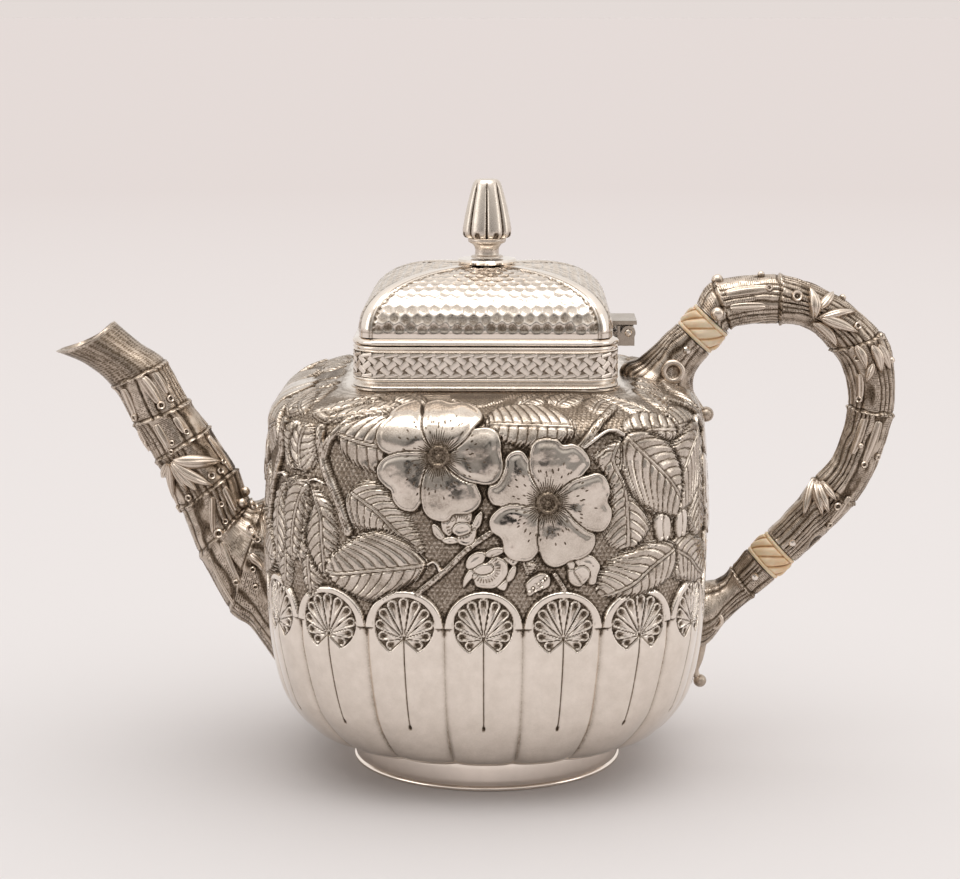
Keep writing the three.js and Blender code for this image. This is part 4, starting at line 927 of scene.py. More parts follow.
flowers = [
    {
        "centre": (16.6, 87.9),
        "petals": [
            [(14, 91.5), (12.8, 95), (11.8, 99), (10.8, 101.3), (9, 102), (6.8, 101.3), (5.5, 99.5),
             (5.2, 97), (3.5, 93.5), (1.3, 92.5), (0.8, 90), (2.2, 87.5), (4.5, 87.3), (8.5, 87.5),
             (13.5, 88)],
            [(14.9, 92.5), (13.3, 95.5), (12.2, 98.5), (12, 101.5), (13.2, 104), (16, 105),
             (19.5, 104.6), (21, 103.4), (23.5, 103.6), (26, 102.3), (27.8, 99.8), (28, 97.5),
             (26.5, 96), (23.5, 94), (20, 90.3), (17, 88.5)],
            [(14.3, 86), (11, 86.3), (7, 87), (4, 86.6), (2, 85), (1.2, 82.8), (2, 80.3), (4.2, 78.7),
             (4.8, 77), (5.2, 74.8), (7, 73), (9.8, 72.4), (12.3, 72.8), (14, 75), (14.2, 78.5),
             (14.9, 83)],
            [(20.3, 90.7), (23, 92.8), (26, 94.6), (29, 95.9), (31.3, 95.2), (32.6, 93), (33, 90.5),
             (32.3, 88.2), (33.3, 86), (33.2, 83.5), (32, 81.2), (30.3, 80), (28, 80.2), (25.5, 81.5),
             (22.8, 83.7), (19, 86.3), (18, 88.5)],
            [(19.8, 86), (23, 82.5), (26, 80.8), (28.7, 79.8), (28.9, 77), (27.5, 74.5), (25, 73),
             (22.3, 72.5), (20.8, 71.5), (18.5, 70.8), (16.3, 71.5), (14.8, 73.5), (14.3, 76.5),
             (15, 80), (15.7, 85)],
        ],
    },
    {
        "centre": (-11.9, 100),
        "petals": [
            [(-15.5, 102.5), (-17.5, 101.2), (-21, 100.8), (-25, 100.5), (-27.5, 101.8), (-28.7, 104.8),
             (-28.4, 108), (-27.2, 110.2), (-27.6, 112.5), (-27, 115.5), (-25, 118), (-22.5, 118.9),
             (-20.3, 117.3), (-18.5, 112.8), (-16.3, 107.5), (-13.5, 103)],
            [(-15.5, 100.3), (-20, 100.4), (-24, 100.5), (-26.5, 99.5), (-28.1, 96.8), (-27.6, 94),
             (-25.5, 91.8), (-24.2, 90.8), (-23.6, 88.5), (-21.7, 86.2), (-19, 85.4), (-17.2, 86),
             (-16, 88.5), (-15, 92), (-13.2, 97.5)],
            [(-13.5, 98), (-15.5, 91), (-16, 87.5), (-15.5, 85.5), (-13.8, 83.7), (-11, 82.9),
             (-9, 83.3), (-7.5, 84.8), (-4, 85), (-1.5, 86.5), (-0.3, 89), (-1.3, 91.8), (-4, 94.5),
             (-9, 98.3)],
            [(-9.5, 101.5), (-5, 105), (-2, 107), (1, 107.6), (3.5, 106.5), (4.7, 104), (4.8, 101.5),
             (5, 100), (5.3, 97.5), (4.6, 94.8), (2.8, 93), (0.3, 92.5), (-2, 93.3), (-5, 95),
             (-9.5, 98.5)],
            [(-12.8, 102.3), (-16, 108), (-18.3, 113), (-19.3, 117), (-17, 119.3), (-14, 119.5),
             (-11, 118), (-8.5, 118.3), (-5, 117.6), (-1.8, 115), (-0.2, 111.8), (-0.6, 109.3),
             (-3.5, 106.8), (-9.8, 101.8)],
        ],
    },
]
# each bud is a group of small overlapping scales
buds = [
    [
        [(-13.3, 82.2), (-12.3, 82.2), (-11, 80.6), (-10.2, 79), (-11, 78.2), (-12.3, 79),
         (-13.1, 80.3)],
        [(-7.3, 85.2), (-5.5, 85.7), (-3.4, 85.5), (-3.1, 83.7), (-3.9, 82.5), (-5.7, 82.9), (-7.3, 82.4)],
        [(-11, 82.6), (-10.6, 83.4), (-9.1, 84.4), (-7.6, 84.9), (-7.3, 82.9), (-8.1, 80.6),
         (-8.9, 79.3), (-10.5, 80.6)],
        [(-3.1, 81.5), (-2.7, 82.9), (-1.8, 84.7), (-0.6, 85.7), (-0.4, 83.9), (-1.1, 81.8), (-2.3, 81.1)],
        [(-10.7, 78.2), (-9.1, 78.9), (-7.3, 78.8), (-6.8, 77.6), (-8.4, 77.2), (-9.9, 77.4)],
        [(-6.6, 79.1), (-5.2, 80), (-3.4, 80.9), (-2, 81.2), (-2.1, 79.3), (-2.8, 77.6),
         (-4.2, 76.8), (-5.7, 77.0), (-6.6, 77.7)],
        [(-8.1, 81), (-7.4, 82.2), (-5.9, 82.9), (-4.2, 82.7), (-3.2, 81.5), (-3.6, 80.3),
         (-5.1, 79.6), (-6.6, 79.4), (-7.8, 80.1)],
    ],
    [
        [(-5.3, 65.5), (-5.2, 67.4), (-4.4, 69.2), (-3.4, 70.4), (-2.4, 69.8), (-2.7, 68.6), (-4, 67)],
        [(3.7, 65.5), (4.9, 66.9), (6.1, 67.5), (6, 65.9), (5.3, 64.8)],
        [(6, 67.8), (6.6, 69.8), (7.7, 71.3), (8.4, 70.8), (8.2, 69.2), (7.5, 67.8), (6.4, 67.1)],
        [(5.3, 73.4), (6.9, 73.5), (8.9, 73.1), (8.5, 72), (7.4, 71.6), (6.3, 72.3)],
        [(0.4, 74.5), (1.6, 75.7), (3.7, 76.3), (5.1, 75.9), (4.8, 74.8), (3.2, 74), (1.4, 73.6)],
        [(-2.6, 69), (-2.4, 67.3), (-1.7, 65.8), (0.6, 65.4), (2.8, 65.5), (4.4, 66.9), (5.8, 68.7),
         (6.3, 70.8), (5.6, 72.6), (3.9, 73.6), (2.4, 73.4), (0.1, 71.3)],
        [(-4.6, 71.3), (-4.4, 72.5), (-3.6, 73.9), (-2, 74.9), (-0.2, 75), (0.4, 73.9),
         (-0.2, 72.3), (-1.5, 71.2), (-3.1, 70.7), (-4.2, 70.6)],
        [(-2.6, 70.2), (-1.5, 71.3), (0.1, 71.9), (1.7, 71.8), (2.5, 71), (2.2, 69.9), (1.1, 69.3),
         (-0.5, 69.0), (-1.8, 69.4)],
    ],
    [
        [(21.5, 72.3), (22.6, 72.6), (23.5, 71.8), (23.2, 70.2), (22.3, 70.5)],
        [(23.7, 72.7), (25.3, 73.7), (27.9, 73.9), (29.5, 72.3), (30.2, 70.8), (29.5, 68.7),
         (29, 66.4), (27.4, 66.3), (27.4, 68.2), (26.3, 69.7), (24.7, 71)],
        [(22.1, 70.2), (23.5, 70), (24.7, 68.2), (25.6, 66.4), (24.7, 65.7), (22.9, 66.4), (22.1, 67.9)],
        [(23.4, 70), (24.5, 71), (26.1, 71.1), (27.3, 69.8), (27.3, 68.2), (26.4, 66.9),
         (25.6, 66.4), (24.5, 68.1)],
    ],
]
berryLeaf = [(11.1, 64.6), (11.0, 66.7), (12.4, 68.3), (14.2, 69.3), (16.1, 69.5), (17.3, 68.7),
             (17.4, 66.4), (16.1, 65.1), (14, 64.3), (12.1, 63.1), (11.3, 63.5)]
leafBerries = [(11.9, 64.4), (12.8, 65.4), (13.4, 64.6), (14.2, 66.5), (15.0, 65.6), (15.3, 67.2),
               (15.9, 68.0), (16.4, 68.6)]

# rib, upper edge and lower edge
shoulderLeaves = [
    ([(-30, 112), (-36, 117), (-43, 120)], [(-31, 117), (-37, 122)], [(-35, 112), (-41, 115)]),
    ([(-47, 113), (-44, 118), (-37, 125)], [(-48, 118), (-43, 124)], [(-43, 113), (-38, 119)]),
    ([(-20, 119), (-25, 122), (-33, 124)], [(-22, 123), (-28, 126)], [(-23, 118), (-30, 120)]),
    ([(33, 114), (38, 119), (45, 121)], [(33, 119), (39, 123.5)], [(38, 113), (43, 116)]),
    ([(24, 118), (28, 121), (36, 125)], [(22, 122), (29, 126)], [(28, 117.5), (34, 121)]),
    ([(49, 110), (47, 117), (40, 125)], [(44, 112), (41, 119)], [(50, 117), (46, 124)]),
    ([(12, 118), (16, 121), (22, 124)], [(11, 122), (17, 125.5)], [(16, 117.5), (21, 120)]),
]

scaledPatch = [(-13, 125), (-2, 126), (9, 125), (6, 121), (0, 118), (-3, 117.5), (-6, 118.5), (-11, 121)]
# centre, radius, length, strokes in a full turn, and the turns between which they stand
tickRows = [
    ((-6, 82), 3.1, 1.3, 26, 0.5, 0.95), ((-6, 82), 2.6, 1.3, 26, 0.05, 0.45),
    ((0.3, 70.8), 3.4, 1.5, 30, 0.62, 0.2),
]
cornerBud = [
    [(46.3, 83), (48.8, 83.3), (49.4, 80), (48.6, 77), (47.2, 76.5), (46.2, 79)],
    [(48.6, 83), (50.6, 82), (50.8, 78.5), (49.6, 76.2), (48.5, 78)],
]


def chaseOrnament():
    for rib, upper, lower in shoulderLeaves:
        leafShape(rib, upper, lower, level=0.55, spacing=2.4, teeth=0.5, cup=0.2, veinDepth=0.2)
    scaledShape(scaledPatch)
    for line, width, level in twigs[:1] + twigs[2:]:
        twigShape(line, width, level)
    for name, leaf in leaves.items():
        if name == "topRight":
            # the two stout twigs lie over the leaves on the left
            twigShape(*twigs[1])
            twigShape(*twigs[0])
        leafShape(**leaf)
    for line, width, level in stalks:
        twigShape(line, width, level, bark=False)
    for level, outlines in [(1.0, cornerBud), *((1.05, bud) for bud in buds)]:
        for outline in outlines:
            petalShape(outline[0], outline, level, 0.0, 0.16, 0.25, blooms=0.0)
    for row in tickRows:
        tickMarks(*row)
    petalShape((14.5, 66), berryLeaf, 0.9, 0.0, 0.1, 0.0, blooms=0.0)
    for spot in leafBerries:
        knobShape(spot, 0.45, 1.25)
    # a low swelling under each big flower
    for flower in flowers[::-1]:
        knobShape(flower["centre"], 11, 0.75)
    for flower in flowers:
        for outline in flower["petals"]:
            petalShape(flower["centre"], outline)
        flowerButton(flower["centre"])


chaseOrnament()


def punchGround():
    # rows of small triangular punches fill the ground between the flowers
    pitch, rise = 1.35, 1.15
    row = np.floor(upGrid / rise)
    cell = aroundGrid / pitch + np.mod(row, 2) * 0.5
    across = np.abs(cell - np.floor(cell) - 0.5) * 2
    up = upGrid / rise - row
    wobble = 0.35 * (valueNoise(aroundGrid / 1.6, upGrid / 1.6, 8) - 0.5)
    triangle = ease(-0.08, 0.22, (1 - up) * 0.95 - across + wobble)
    fade = ease(122, 118, upGrid)
    return triangle * fade


punches = punchGround() * np.clip(ground, 0, 1)
relief += 0.1 * (punches - 0.4) * np.clip(ground, 0, 1)
feathers = featherEngraving()
relief -= 0.12 * feathers
stainAndShade = np.maximum(stainAndShade, feathers)

print("stage: chased ornament")


# patina in the hollows, the painted stains and the painted shade on the leaf bands, as one darkness over the
# skin
def patinaAndShadeField():
    total = np.zeros(relief.shape)
    for radius, gain in ((2, 3.9), (5, 1.9), (12, 0.8)):
        total += gain * np.clip(blurred(relief, radius) - relief, -0.08, 0.6)
    shine = ground * (0.59 - 0.17 * punches) * ease(126, 119, upGrid)
    plainLobe = ease(-1.5, -3.0, upGrid - body["archSpring"])
    plainLobe = plainLobe * ease(7.9, 8.7, np.hypot(lobeAcross, upGrid - fan["centre"]))
    shade = np.clip(total * (1 - 0.68 * plainLobe) * (1 - 0.3 * ease(103, 108, upGrid)), 0, 0.95)
    toneShift = 0.07 + 0.16 * bloom * valueNoise(aroundGrid / 5, upGrid / 5, 3) + 0.1 * ease(100, 110, upGrid)
    # darker towards the bottom of the belly
    toneShift += 0.1 * ease(36, 10, upGrid)
    return np.clip(toneShift + np.maximum(np.maximum(shade, stainAndShade), shine), 0, 1)


patinaAndShade = patinaAndShadeField()


def bloomOffsets():
    # how far each point is across and up from the middle of the nearest big flower
    number = np.floor(aroundGrid / sideWidth)
    across = aroundGrid - (number + 0.5) * sideWidth
    across = np.where(np.mod(number, 2) == 1, -across, across)
    bestX = np.full(across.shape, 40.0)
    bestY = np.full(across.shape, 40.0)
    for flower in flowers:
        dx = across - flower["centre"][0]
        dy = upGrid - flower["centre"][1]
        nearer = np.hypot(dx, dy) < np.hypot(bestX, bestY)
        bestX = np.where(nearer, dx, bestX)
        bestY = np.where(nearer, dy, bestY)
    return bestX, bestY


bloomX, bloomY = bloomOffsets()
lifted = onSkin(aroundGrid, upGrid, relief)


def gridNormals(grid):
    # across a grid of rings that close on themselves
    around = np.roll(grid, -1, 1) - np.roll(grid, 1, 1)
    return unit(np.cross(around, np.gradient(grid, axis=0)))


normals = gridNormals(lifted.swapaxes(0, 1)).swapaxes(0, 1)


def zipped(outer, outerPlace, inner, innerPlace):
    # triangles between two borders with unequal numbers of points
    faces = []
    i = j = 0
    while i < len(outer) - 1 or j < len(inner) - 1:
        takeOuter = j == len(inner) - 1 or (i < len(outer) - 1 and outerPlace[i + 1] <= innerPlace[j + 1])
        if takeOuter:
            faces.append((outer[i], inner[j], outer[i + 1]))
            i += 1
        else:
            faces.append((outer[i], inner[j], inner[j + 1]))
            j += 1
    return faces


def bodyPanel(name, firstColumn, lastColumn, firstRow, lastRow):
    columns = np.arange(firstColumn, lastColumn + 1)
    rows = np.arange(firstRow, lastRow + 1)
    coarseColumns = np.unique(np.append(np.arange(0, len(columns), 10), len(columns) - 1))
    coarseRows = np.unique(np.append(np.arange(0, len(rows), 10), len(rows) - 1))
    outside = np.ix_(columns % body["columns"], rows)
    outer = lifted[outside].reshape(-1, 3)
    coarseUp = rowPlaces[rows[coarseRows]][None, :]
    inside = onSkin(columns[coarseColumns, None] * columnStep, coarseUp, -body["wall"])
    points = np.vstack([outer, inside.reshape(-1, 3)])
    wide, high = len(columns), len(rows)
    fewWide, fewHigh = len(coarseColumns), len(coarseRows)
    first = wide * high
    quads = [gridFaces(0, wide, high, False, True), gridFaces(first, fewWide, fewHigh, False)]
    index = np.arange(wide * high).reshape(wide, high)
    coarse = first + np.arange(fewWide * fewHigh).reshape(fewWide, fewHigh)
    walls = []
    borders = [
        (index[:, 0], np.arange(wide), coarse[:, 0], coarseColumns, False),
        (index[-1, :], np.arange(high), coarse[-1, :], coarseRows, False),
        (index[:, -1], np.arange(wide), coarse[:, -1], coarseColumns, True),
        (index[0, :], np.arange(high), coarse[0, :], coarseRows, True),
    ]
    for outerLine, outerPlace, innerLine, innerPlace, flipped in borders:
        strip = zipped(outerLine, outerPlace, innerLine, innerPlace)
        walls += [face[::-1] for face in strip] if flipped else strip
    count = len(points) - first
    wanted = np.vstack([normals[outside].reshape(-1, 3), np.zeros((count, 3))])
    stains = np.concatenate([patinaAndShade[outside].ravel(), np.full(count, 0.15)])
    flat = np.stack([aroundGrid[outside].ravel(), upGrid[outside].ravel()], 1) / 100
    flat = np.vstack([flat, np.zeros((count, 2))])
    values = {"patinaAndShade": stains}
    for key, field in (("bloom", bloom), ("bloomX", bloomX), ("bloomY", bloomY)):
        values[key] = np.concatenate([field[outside].ravel(), np.zeros(count)])
    panel = pieceFrom(name, points, [*quads, np.array(walls)], wanted, values, flat)
    return finishPiece(panel, bodyLook, "pot", "silver", "body_shell")


sideNames = ["front", "handleSide", "back", "spoutSide"]
springRow = int(np.argmin(np.abs(rowPlaces - body["archSpring"])))
perSide = body["columns"] // 4
for number, sideName in enumerate(sideNames):
    start = number * perSide
    bodyPanel(f"body_{sideName}_lobes", start, start + perSide, 0, springRow)
    bodyPanel(f"body_{sideName}_flowers", start, start + perSide, springRow, len(rowPlaces) - 1)

print("stage: body panels")


def facingOut(points, faces):
    # turns every face of a closed shape over if its volume comes out below nought
    volume = 0.0
    for group in faces:
        for corner in range(1, group.shape[1] - 1):
            a, b, c = (points[group[:, place]] for place in (0, corner, corner + 1))
            volume += np.einsum("ij,ij->i", a, np.cross(b, c)).sum()
    return [group[:, ::-1] for group in faces] if volume < 0 else faces


def joinedShapes(shapes):
    # several [points, faces, stains] shapes as one
    points, stains, faces = [], [], {}
    first = 0
    for shape in shapes:
        shapePoints, shapeFaces, shapeStain = shape
        for group in facingOut(shapePoints, shapeFaces):
            faces.setdefault(group.shape[1], []).append(group + first)
        points.append(shapePoints)
        stains.append(np.broadcast_to(shapeStain, (len(shapePoints),)))
        first += len(shapePoints)
    return np.vstack(points), [np.vstack(groups) for groups in faces.values()], np.concatenate(stains)


def shapesPiece(name, shapes, sharpAngle=None, firstUv=None):
    # one piece from several shapes; firstUv belongs to the first points of the first shape
    points, faces, stains = joinedShapes(shapes)
    if firstUv is not None:
        plain = np.tile([0.75 / 120, 0.0], (len(points) - len(firstUv), 1))
        firstUv = np.vstack([firstUv, plain])
    return pieceFrom(name, points, faces, None, {"patinaAndShade": stains}, firstUv, sharpAngle, firstUv is not None)


def stemUv(run, angle):
    return np.stack([(angle / turn).ravel(), run.ravel() / 100], 1)


def closedGrid(grid, stains):
    # a closed skin over rings of points: grid[row, column], its two end rings closed by a fan
    rows, columns = grid.shape[:2]
    points = np.vstack([grid.reshape(-1, 3), grid[0].mean(0), grid[-1].mean(0)])
    ring = np.arange(columns)
    faces = [
        gridFaces(0, rows, columns, True),
        np.vstack([
            capFaces(rows * columns, ring, True),
            capFaces(rows * columns + 1, ring + (rows - 1) * columns),
        ]),
    ]
    full = np.concatenate([np.broadcast_to(stains, grid.shape[:2]).ravel(), [0.4, 0.4]])
    return points, faces, full


def loopedGrid(grid, stains):
    # a closed skin over rings of points whose last ring joins the first
    rows, columns = grid.shape[:2]
    faces = gridFaces(0, rows + 1, columns, True) % (rows * columns)
    return grid.reshape(-1, 3), [faces], np.broadcast_to(stains, grid.shape[:2]).ravel()


def turnedShape(profileLine, sides, centre, axis, stains=0.1):
    # a turned shape about an axis through a centre, from [radius, height] points from pole to pole
    axis = np.asarray(axis, float) / np.linalg.norm(axis)
    helper = np.array([0, 0, 1.0]) if abs(axis[2]) < 0.9 else np.array([1.0, 0, 0])
    first = np.cross(helper, axis)
    first /= np.linalg.norm(first)
    second = np.cross(axis, first)
    angle = ringAngles(sides)
    profileLine = np.asarray(profileLine, float)
    around = np.cos(angle)[:, None] * first + np.sin(angle)[:, None] * second
    grid = profileLine[:, 0][:, None, None] * around[None] + profileLine[:, 1][:, None, None] * axis
    return closedGrid(grid + np.asarray(centre, float), stains)


# bamboo stems: spout, handle grip and the two sockets, drawn by a lower and an upper line

class Stem:
    def __init__(self, pairs):
        # each pair is [from x, from z, to x, to z, depth], from the body's own axis
        self.pairs = np.asarray(pairs, float)
        self.spans = len(pairs) - 1
        places = np.linspace(0, self.spans, 1201)
        centre = self.section(places)[0]
        self.places = places
        self.run = np.concatenate([[0], np.cumsum(np.hypot(*np.diff(centre, axis=0).T))])

    def section(self, place):
        place = np.asarray(place, float)
        first = splinePoint(self.pairs[:, 0:2], place / self.spans)
        second = splinePoint(self.pairs[:, 2:4], place / self.spans)
        depth = np.interp(place, np.arange(self.spans + 1), self.pairs[:, 4])
        return (first + second) / 2, (second - first) / 2, depth

    def pointAt(self, place, angle, lift):
        centre, half, depth = self.section(place)
        size = np.linalg.norm(half, axis=-1)
        across = (size + lift) * np.cos(angle)
        y = (size * depth + lift) * np.sin(angle)
        x = centre[..., 0] + half[..., 0] / size * across
        z = centre[..., 1] + half[..., 1] / size * across
        return np.stack([x + axisX, y + 0 * x, z], -1)

    def radiusAt(self, place):
        return np.linalg.norm(self.section(place)[1], axis=-1)

    def runAt(self, place):
        return np.interp(place, self.places, self.run)

    def placeAt(self, run):
        return np.interp(run, self.run, self.places)


def beside(side, reach, out, up):
    return side * (body["bellyHalfWidth"] + out * reach), body["underside"] + up * body["height"]


def barkField(run, angle, joints, strips, seed, calm=None):
    # raised strips along the stem, parted by dark grooves, ending at each joint's ring
    segment = np.searchsorted(joints, run)
    drift = 0.5 * (valueNoise(run / 9.0, segment * 7.0 + 0 * run, seed) - 0.5)
    wavy = valueNoise(run / 4.0 + 31 + 1.4 * np.cos(angle), 1.4 * np.sin(angle) + 7.0 * segment, seed + 1)
    drift = drift + 0.5 * (wavy - 0.5)
    drift = drift + 0.75 * np.sin(2 * angle + 1.7 * segment + seed) + 0.4 * np.sin(5 * angle + 2.9 * segment)
    place = angle / turn * strips + drift + 0.37 * segment
    number = np.floor(place)
    part = place - number
    chance = hashed(np.mod(number, strips), segment + 0.0, seed + 2)
    wide = 0.5 + 0.5 * chance
    profileHeight = np.clip(np.sin(math.pi * part), 0, 1) ** 0.55 * (0.55 + 0.45 * wide)
    fine = np.cos(turn * part * (2 + np.floor(chance * 2.9))) * 0.14
    height = 0.66 * (profileHeight - 0.6) * (0.6 + 0.8 * chance) + 0.14 * fine
    height = height + 0.12 * (valueNoise(run / 1.6, 5 * np.cos(angle) + 5 * np.sin(angle), seed + 7) - 0.5)
    groove = ease(0.27, 0.06, np.minimum(part, 1 - part))
    low = ease(0.75, 0.2, profileHeight) * 0.5
    dark = np.maximum(0.85 * groove, low)
    dark = np.maximum(dark, 0.16 + 0.3 * chance * valueNoise(run / 2.6, 3 * np.cos(angle), seed + 4))
    if calm is not None:
        height = height * (1 - calm)
        dark = dark * (1 - calm)
    return height, dark


def ringField(run, angle, joints, proud, seed):
    # a thin uneven ring at each joint, with a swelling on one side of it and a dark line
    height = np.zeros(run.shape)
    dark = np.zeros(run.shape)
    for number, joint in enumerate(joints):
        wander = 1.1 * (valueNoise(2.4 * np.cos(angle) + 9, 2.4 * np.sin(angle) + number * 5.0, seed) - 0.5)
        away = run - joint - wander
        lumps = 0.7 + 0.6 * valueNoise(6 * np.cos(angle), 6 * np.sin(angle) + 11.0 * number, seed + 3)
        height += lumps * 0.75 * proud * bump(away, 0, 0.5) + 0.55 * proud * np.exp(-np.abs(away + 0.5) / 1.8)
        height -= 0.32 * bump(away, 0.85, 0.3)
        dark = np.maximum(dark, 0.85 * bump(away, 0.9, 0.35))
    return height, dark


def besideJoint(centre, along, radius, side, length):
    # the two ends of a flat face that looks at an ivory ring
    offset = side * (length / 2 + 0.3)
    middle = np.array(centre) + offset * np.array(along)
    inner = np.array([along[1], -along[0]]) * radius
    return middle - inner, middle + inner


ivoryRings = {
    "length": 7.5,
    "collar": 1.1,
    "upper": {"centre": beside(1, 54.3, 0, 1.1127), "angle": 46.9, "radius": 6.3},
    "lower": {"centre": beside(1, 54.3, 0.378, 0.482), "angle": 43.3, "radius": 5.9},
    "lobes": 9,
    "proud": 0.75,
    "around": 216,
}


def ringAlong(name):
    angle = math.radians(ivoryRings[name]["angle"])
    return math.cos(angle), math.sin(angle)


def jointFace(name, side):
    joint = ivoryRings[name]
    return besideJoint(joint["centre"], ringAlong(name), joint["radius"], side, ivoryRings["length"])


def stemLeaf(stem, root, tip, halfWidth=1.4, bow=0.0, lift=0.75, fullness=0.85, lines=2.0):
    # a slender leaf that lies on a stem, between two [place, angle in degrees] points
    share = np.linspace(0, 1, 36)[:, None]
    across = np.linspace(-1, 1, 17)[None, :]
    runs = stem.runAt(np.array([root[0], tip[0]]))
    radius = float(stem.radiusAt((root[0] + tip[0]) / 2))
    angles = np.radians([root[1], tip[1]]) * radius
    start = np.array([runs[0], angles[0]])
    along = np.array([runs[1], angles[1]]) - start
    length = np.linalg.norm(along)
    sideways = np.array([-along[1], along[0]]) / length
    bulge = np.sin(math.pi * share ** 0.8)
    width = 1.32 * halfWidth * bulge ** fullness + 0.06
    flat = start + along * share[..., None] + sideways * (bow * bulge + width * across)[..., None]
    place = stem.placeAt(flat[..., 0])
    angle = flat[..., 1] / radius
    wave = np.cos(turn * lines * across)
    up = 1.5 * lift * (0.45 + 0.55 * bulge) * archOf(np.abs(across), 2.5)
    up = up + 0.16 * bump(across, 0, 0.16) + 0.05 * wave
    top = stem.pointAt(place, angle, up)
    bottom = stem.pointAt(place[:, ::-2], angle[:, ::-2], -0.7)
    edge = np.abs(across)
    dark = 0.04 + 0.45 * ease(0.2, -0.5, wave) * (edge < 0.8) + 0.35 * ease(0.86, 1, edge)
    dark = dark * (0.6 + 0.4 * bulge) - 0.1 * bump(across, 0, 0.16)
    stains = np.concatenate([dark + 0 * place, np.full(bottom.shape[:2], 0.8)], 1)
    return closedGrid(np.concatenate([top, bottom], 1), np.clip(stains, 0.03, 1))


def trimShade(stem, trim, run, angle):
    # how dark the bark is round the leaves and the berries
    lines = [(leaf[0], leaf[1], 2.3, 0.6) for leaf in trim["leaves"]]
    lines += [(spot[:2], spot[:2], 0.5 + spot[2], 0.55) for spot in trim["rings"] + trim["beads"]]
    total = np.zeros(run.shape)
    for root, tip, wide, depth in lines:
        radius = float(stem.radiusAt((root[0] + tip[0]) / 2))
        runs = stem.runAt(np.array([root[0], tip[0]]))
        turned = np.mod(angle - math.radians(root[1]) + math.pi, turn) - math.pi
        x, y = run - runs[0], turned * radius
        endX, endY = runs[1] - runs[0], math.radians(tip[1] - root[1]) * radius
        share = np.clip((x * endX + y * endY) / max(endX ** 2 + endY ** 2, 1e-6), 0, 1)
        gap = np.hypot(x - share * endX, y - share * endY)
        total = np.maximum(total, depth * np.exp(-(gap / wide) ** 2))
    return total


def berryShape(stem, place, angle, radius, eye=True):
    # a small raised ring with a dark dimple, or a plain bead, on a stem
    angle = math.radians(angle)
    foot = stem.pointAt(place, angle, 0.1)
    normal = stem.pointAt(place, angle, 1.1) - foot
    if eye:
        line = [(0.001, -1), (1, -1), (1, 0.15), (0.93, 0.4), (0.72, 0.62)]
        line += [(0.5, 0.5), (0.36, 0.25), (0.2, 0.16), (0.001, 0.3)]
        stains = [0.7, 0.7, 0.6, 0.2, 0.06, 0.25, 0.8, 0.85, 0.4]
    else:
        line = [(0.001, -1), (1, -1), (1, 0.1), (0.94, 0.42), (0.74, 0.75), (0.45, 0.95), (0.001, 1.02)]
        stains = [0.7, 0.7, 0.6, 0.25, 0.08, 0.04, 0.04]
    heights = [(wide * radius, up * radius) for wide, up in line]
    return turnedShape(heights, 22, foot, normal, np.array(stains)[:, None])


def stemTrim(stem, trim):
    shapes = [stemLeaf(stem, *leaf) for leaf in trim["leaves"]]
    shapes += [stemLeaf(stem, *tongue, lift=0.42, fullness=0.22, lines=1.0) for tongue in trim["tongues"]]
    shapes += [berryShape(stem, *berry) for berry in trim["rings"]]
    shapes += [berryShape(stem, *berry, eye=False) for berry in trim["beads"]]
    return shapes


# leaves: root, tip, half width, bend and height; tongues: root, tip and half width;
# rings and beads: place along the stem, degrees round it and radius
spoutTrim = {
    "leaves": [
        ((4.9, -107), (4.36, -35), 1.5, 0.3, 1), ((4.88, -110), (4.08, -70), 1.25, 0.7, 0.8),
        ((4.88, -113), (4.14, -96), 1.1, 0.4, 0.75), ((4.86, -116), (4.26, -112), 0.7, 0.2, 0.7),
        ((4.9, -120), (4.24, -160), 1, -0.3, 0.8), ((4.9, -122), (4.66, -168), 0.9, -0.2, 0.7),
    ],
    "tongues": [
        ((6.9, -128), (6.25, -135), 1.1), ((6.95, -78), (6.3, -72), 1.2), ((6.95, -52),
        (6.4, -50), 0.9, 0),
        ((5.9, -150), (5.3, -158), 0.8), ((5.85, -60), (5.3, -62), 0.9), ((5.9, -100),
        (5.15, -104), 0.9, 0),
        ((3.9, -80), (3.2, -100), 0.8), ((3.9, -55), (3.2, -50), 0.9), ((4.9, -128),
        (4.02, -168), 0.45, 0),
        ((2.9, -95), (2, -110), 0.9), ((2.9, -60), (1.9, -62), 1), ((2.9, -130),
        (1.7, -140), 0.8, 0),
        ((1.95, -40), (1.2, -62), 1), ((1.95, -80), (1, -88), 0.9), ((4.9, -25),
        (4.1, -22), 0.9, 0),
    ],
    "rings": [
        (6.22, -135, 1.2), (6.24, -72, 1.3), (6.28, -50, 1.15), (5.24, -93, 0.9), (5.06, -103, 0.85),
        (5.3, -60, 1.0),
        (4.26, -64, 1.25), (4.24, -46, 1.1), (4.34, -31, 0.9), (4.14, -117, 1.15), (3.1, -92, 1.5),
        (3.2, -74, 0.9),
        (3.62, -70, 0.9), (2.3, -58, 1.2), (1.98, -64, 1.1), (1.72, -66, 1), (2.62, -24, 1.2),
        (2.1, -112, 1.1),
        (1.5, -92, 1), (4.02, -168, 1.35), (5.5, -152, 0.9), (1.3, -50, 1.2), (1.15, -105, 1),
    ],
    "beads": [(3.22, -32, 1.5), (3.42, -8, 1.4), (2.86, -14, 1), (1.9, -24, 1.3)],
}


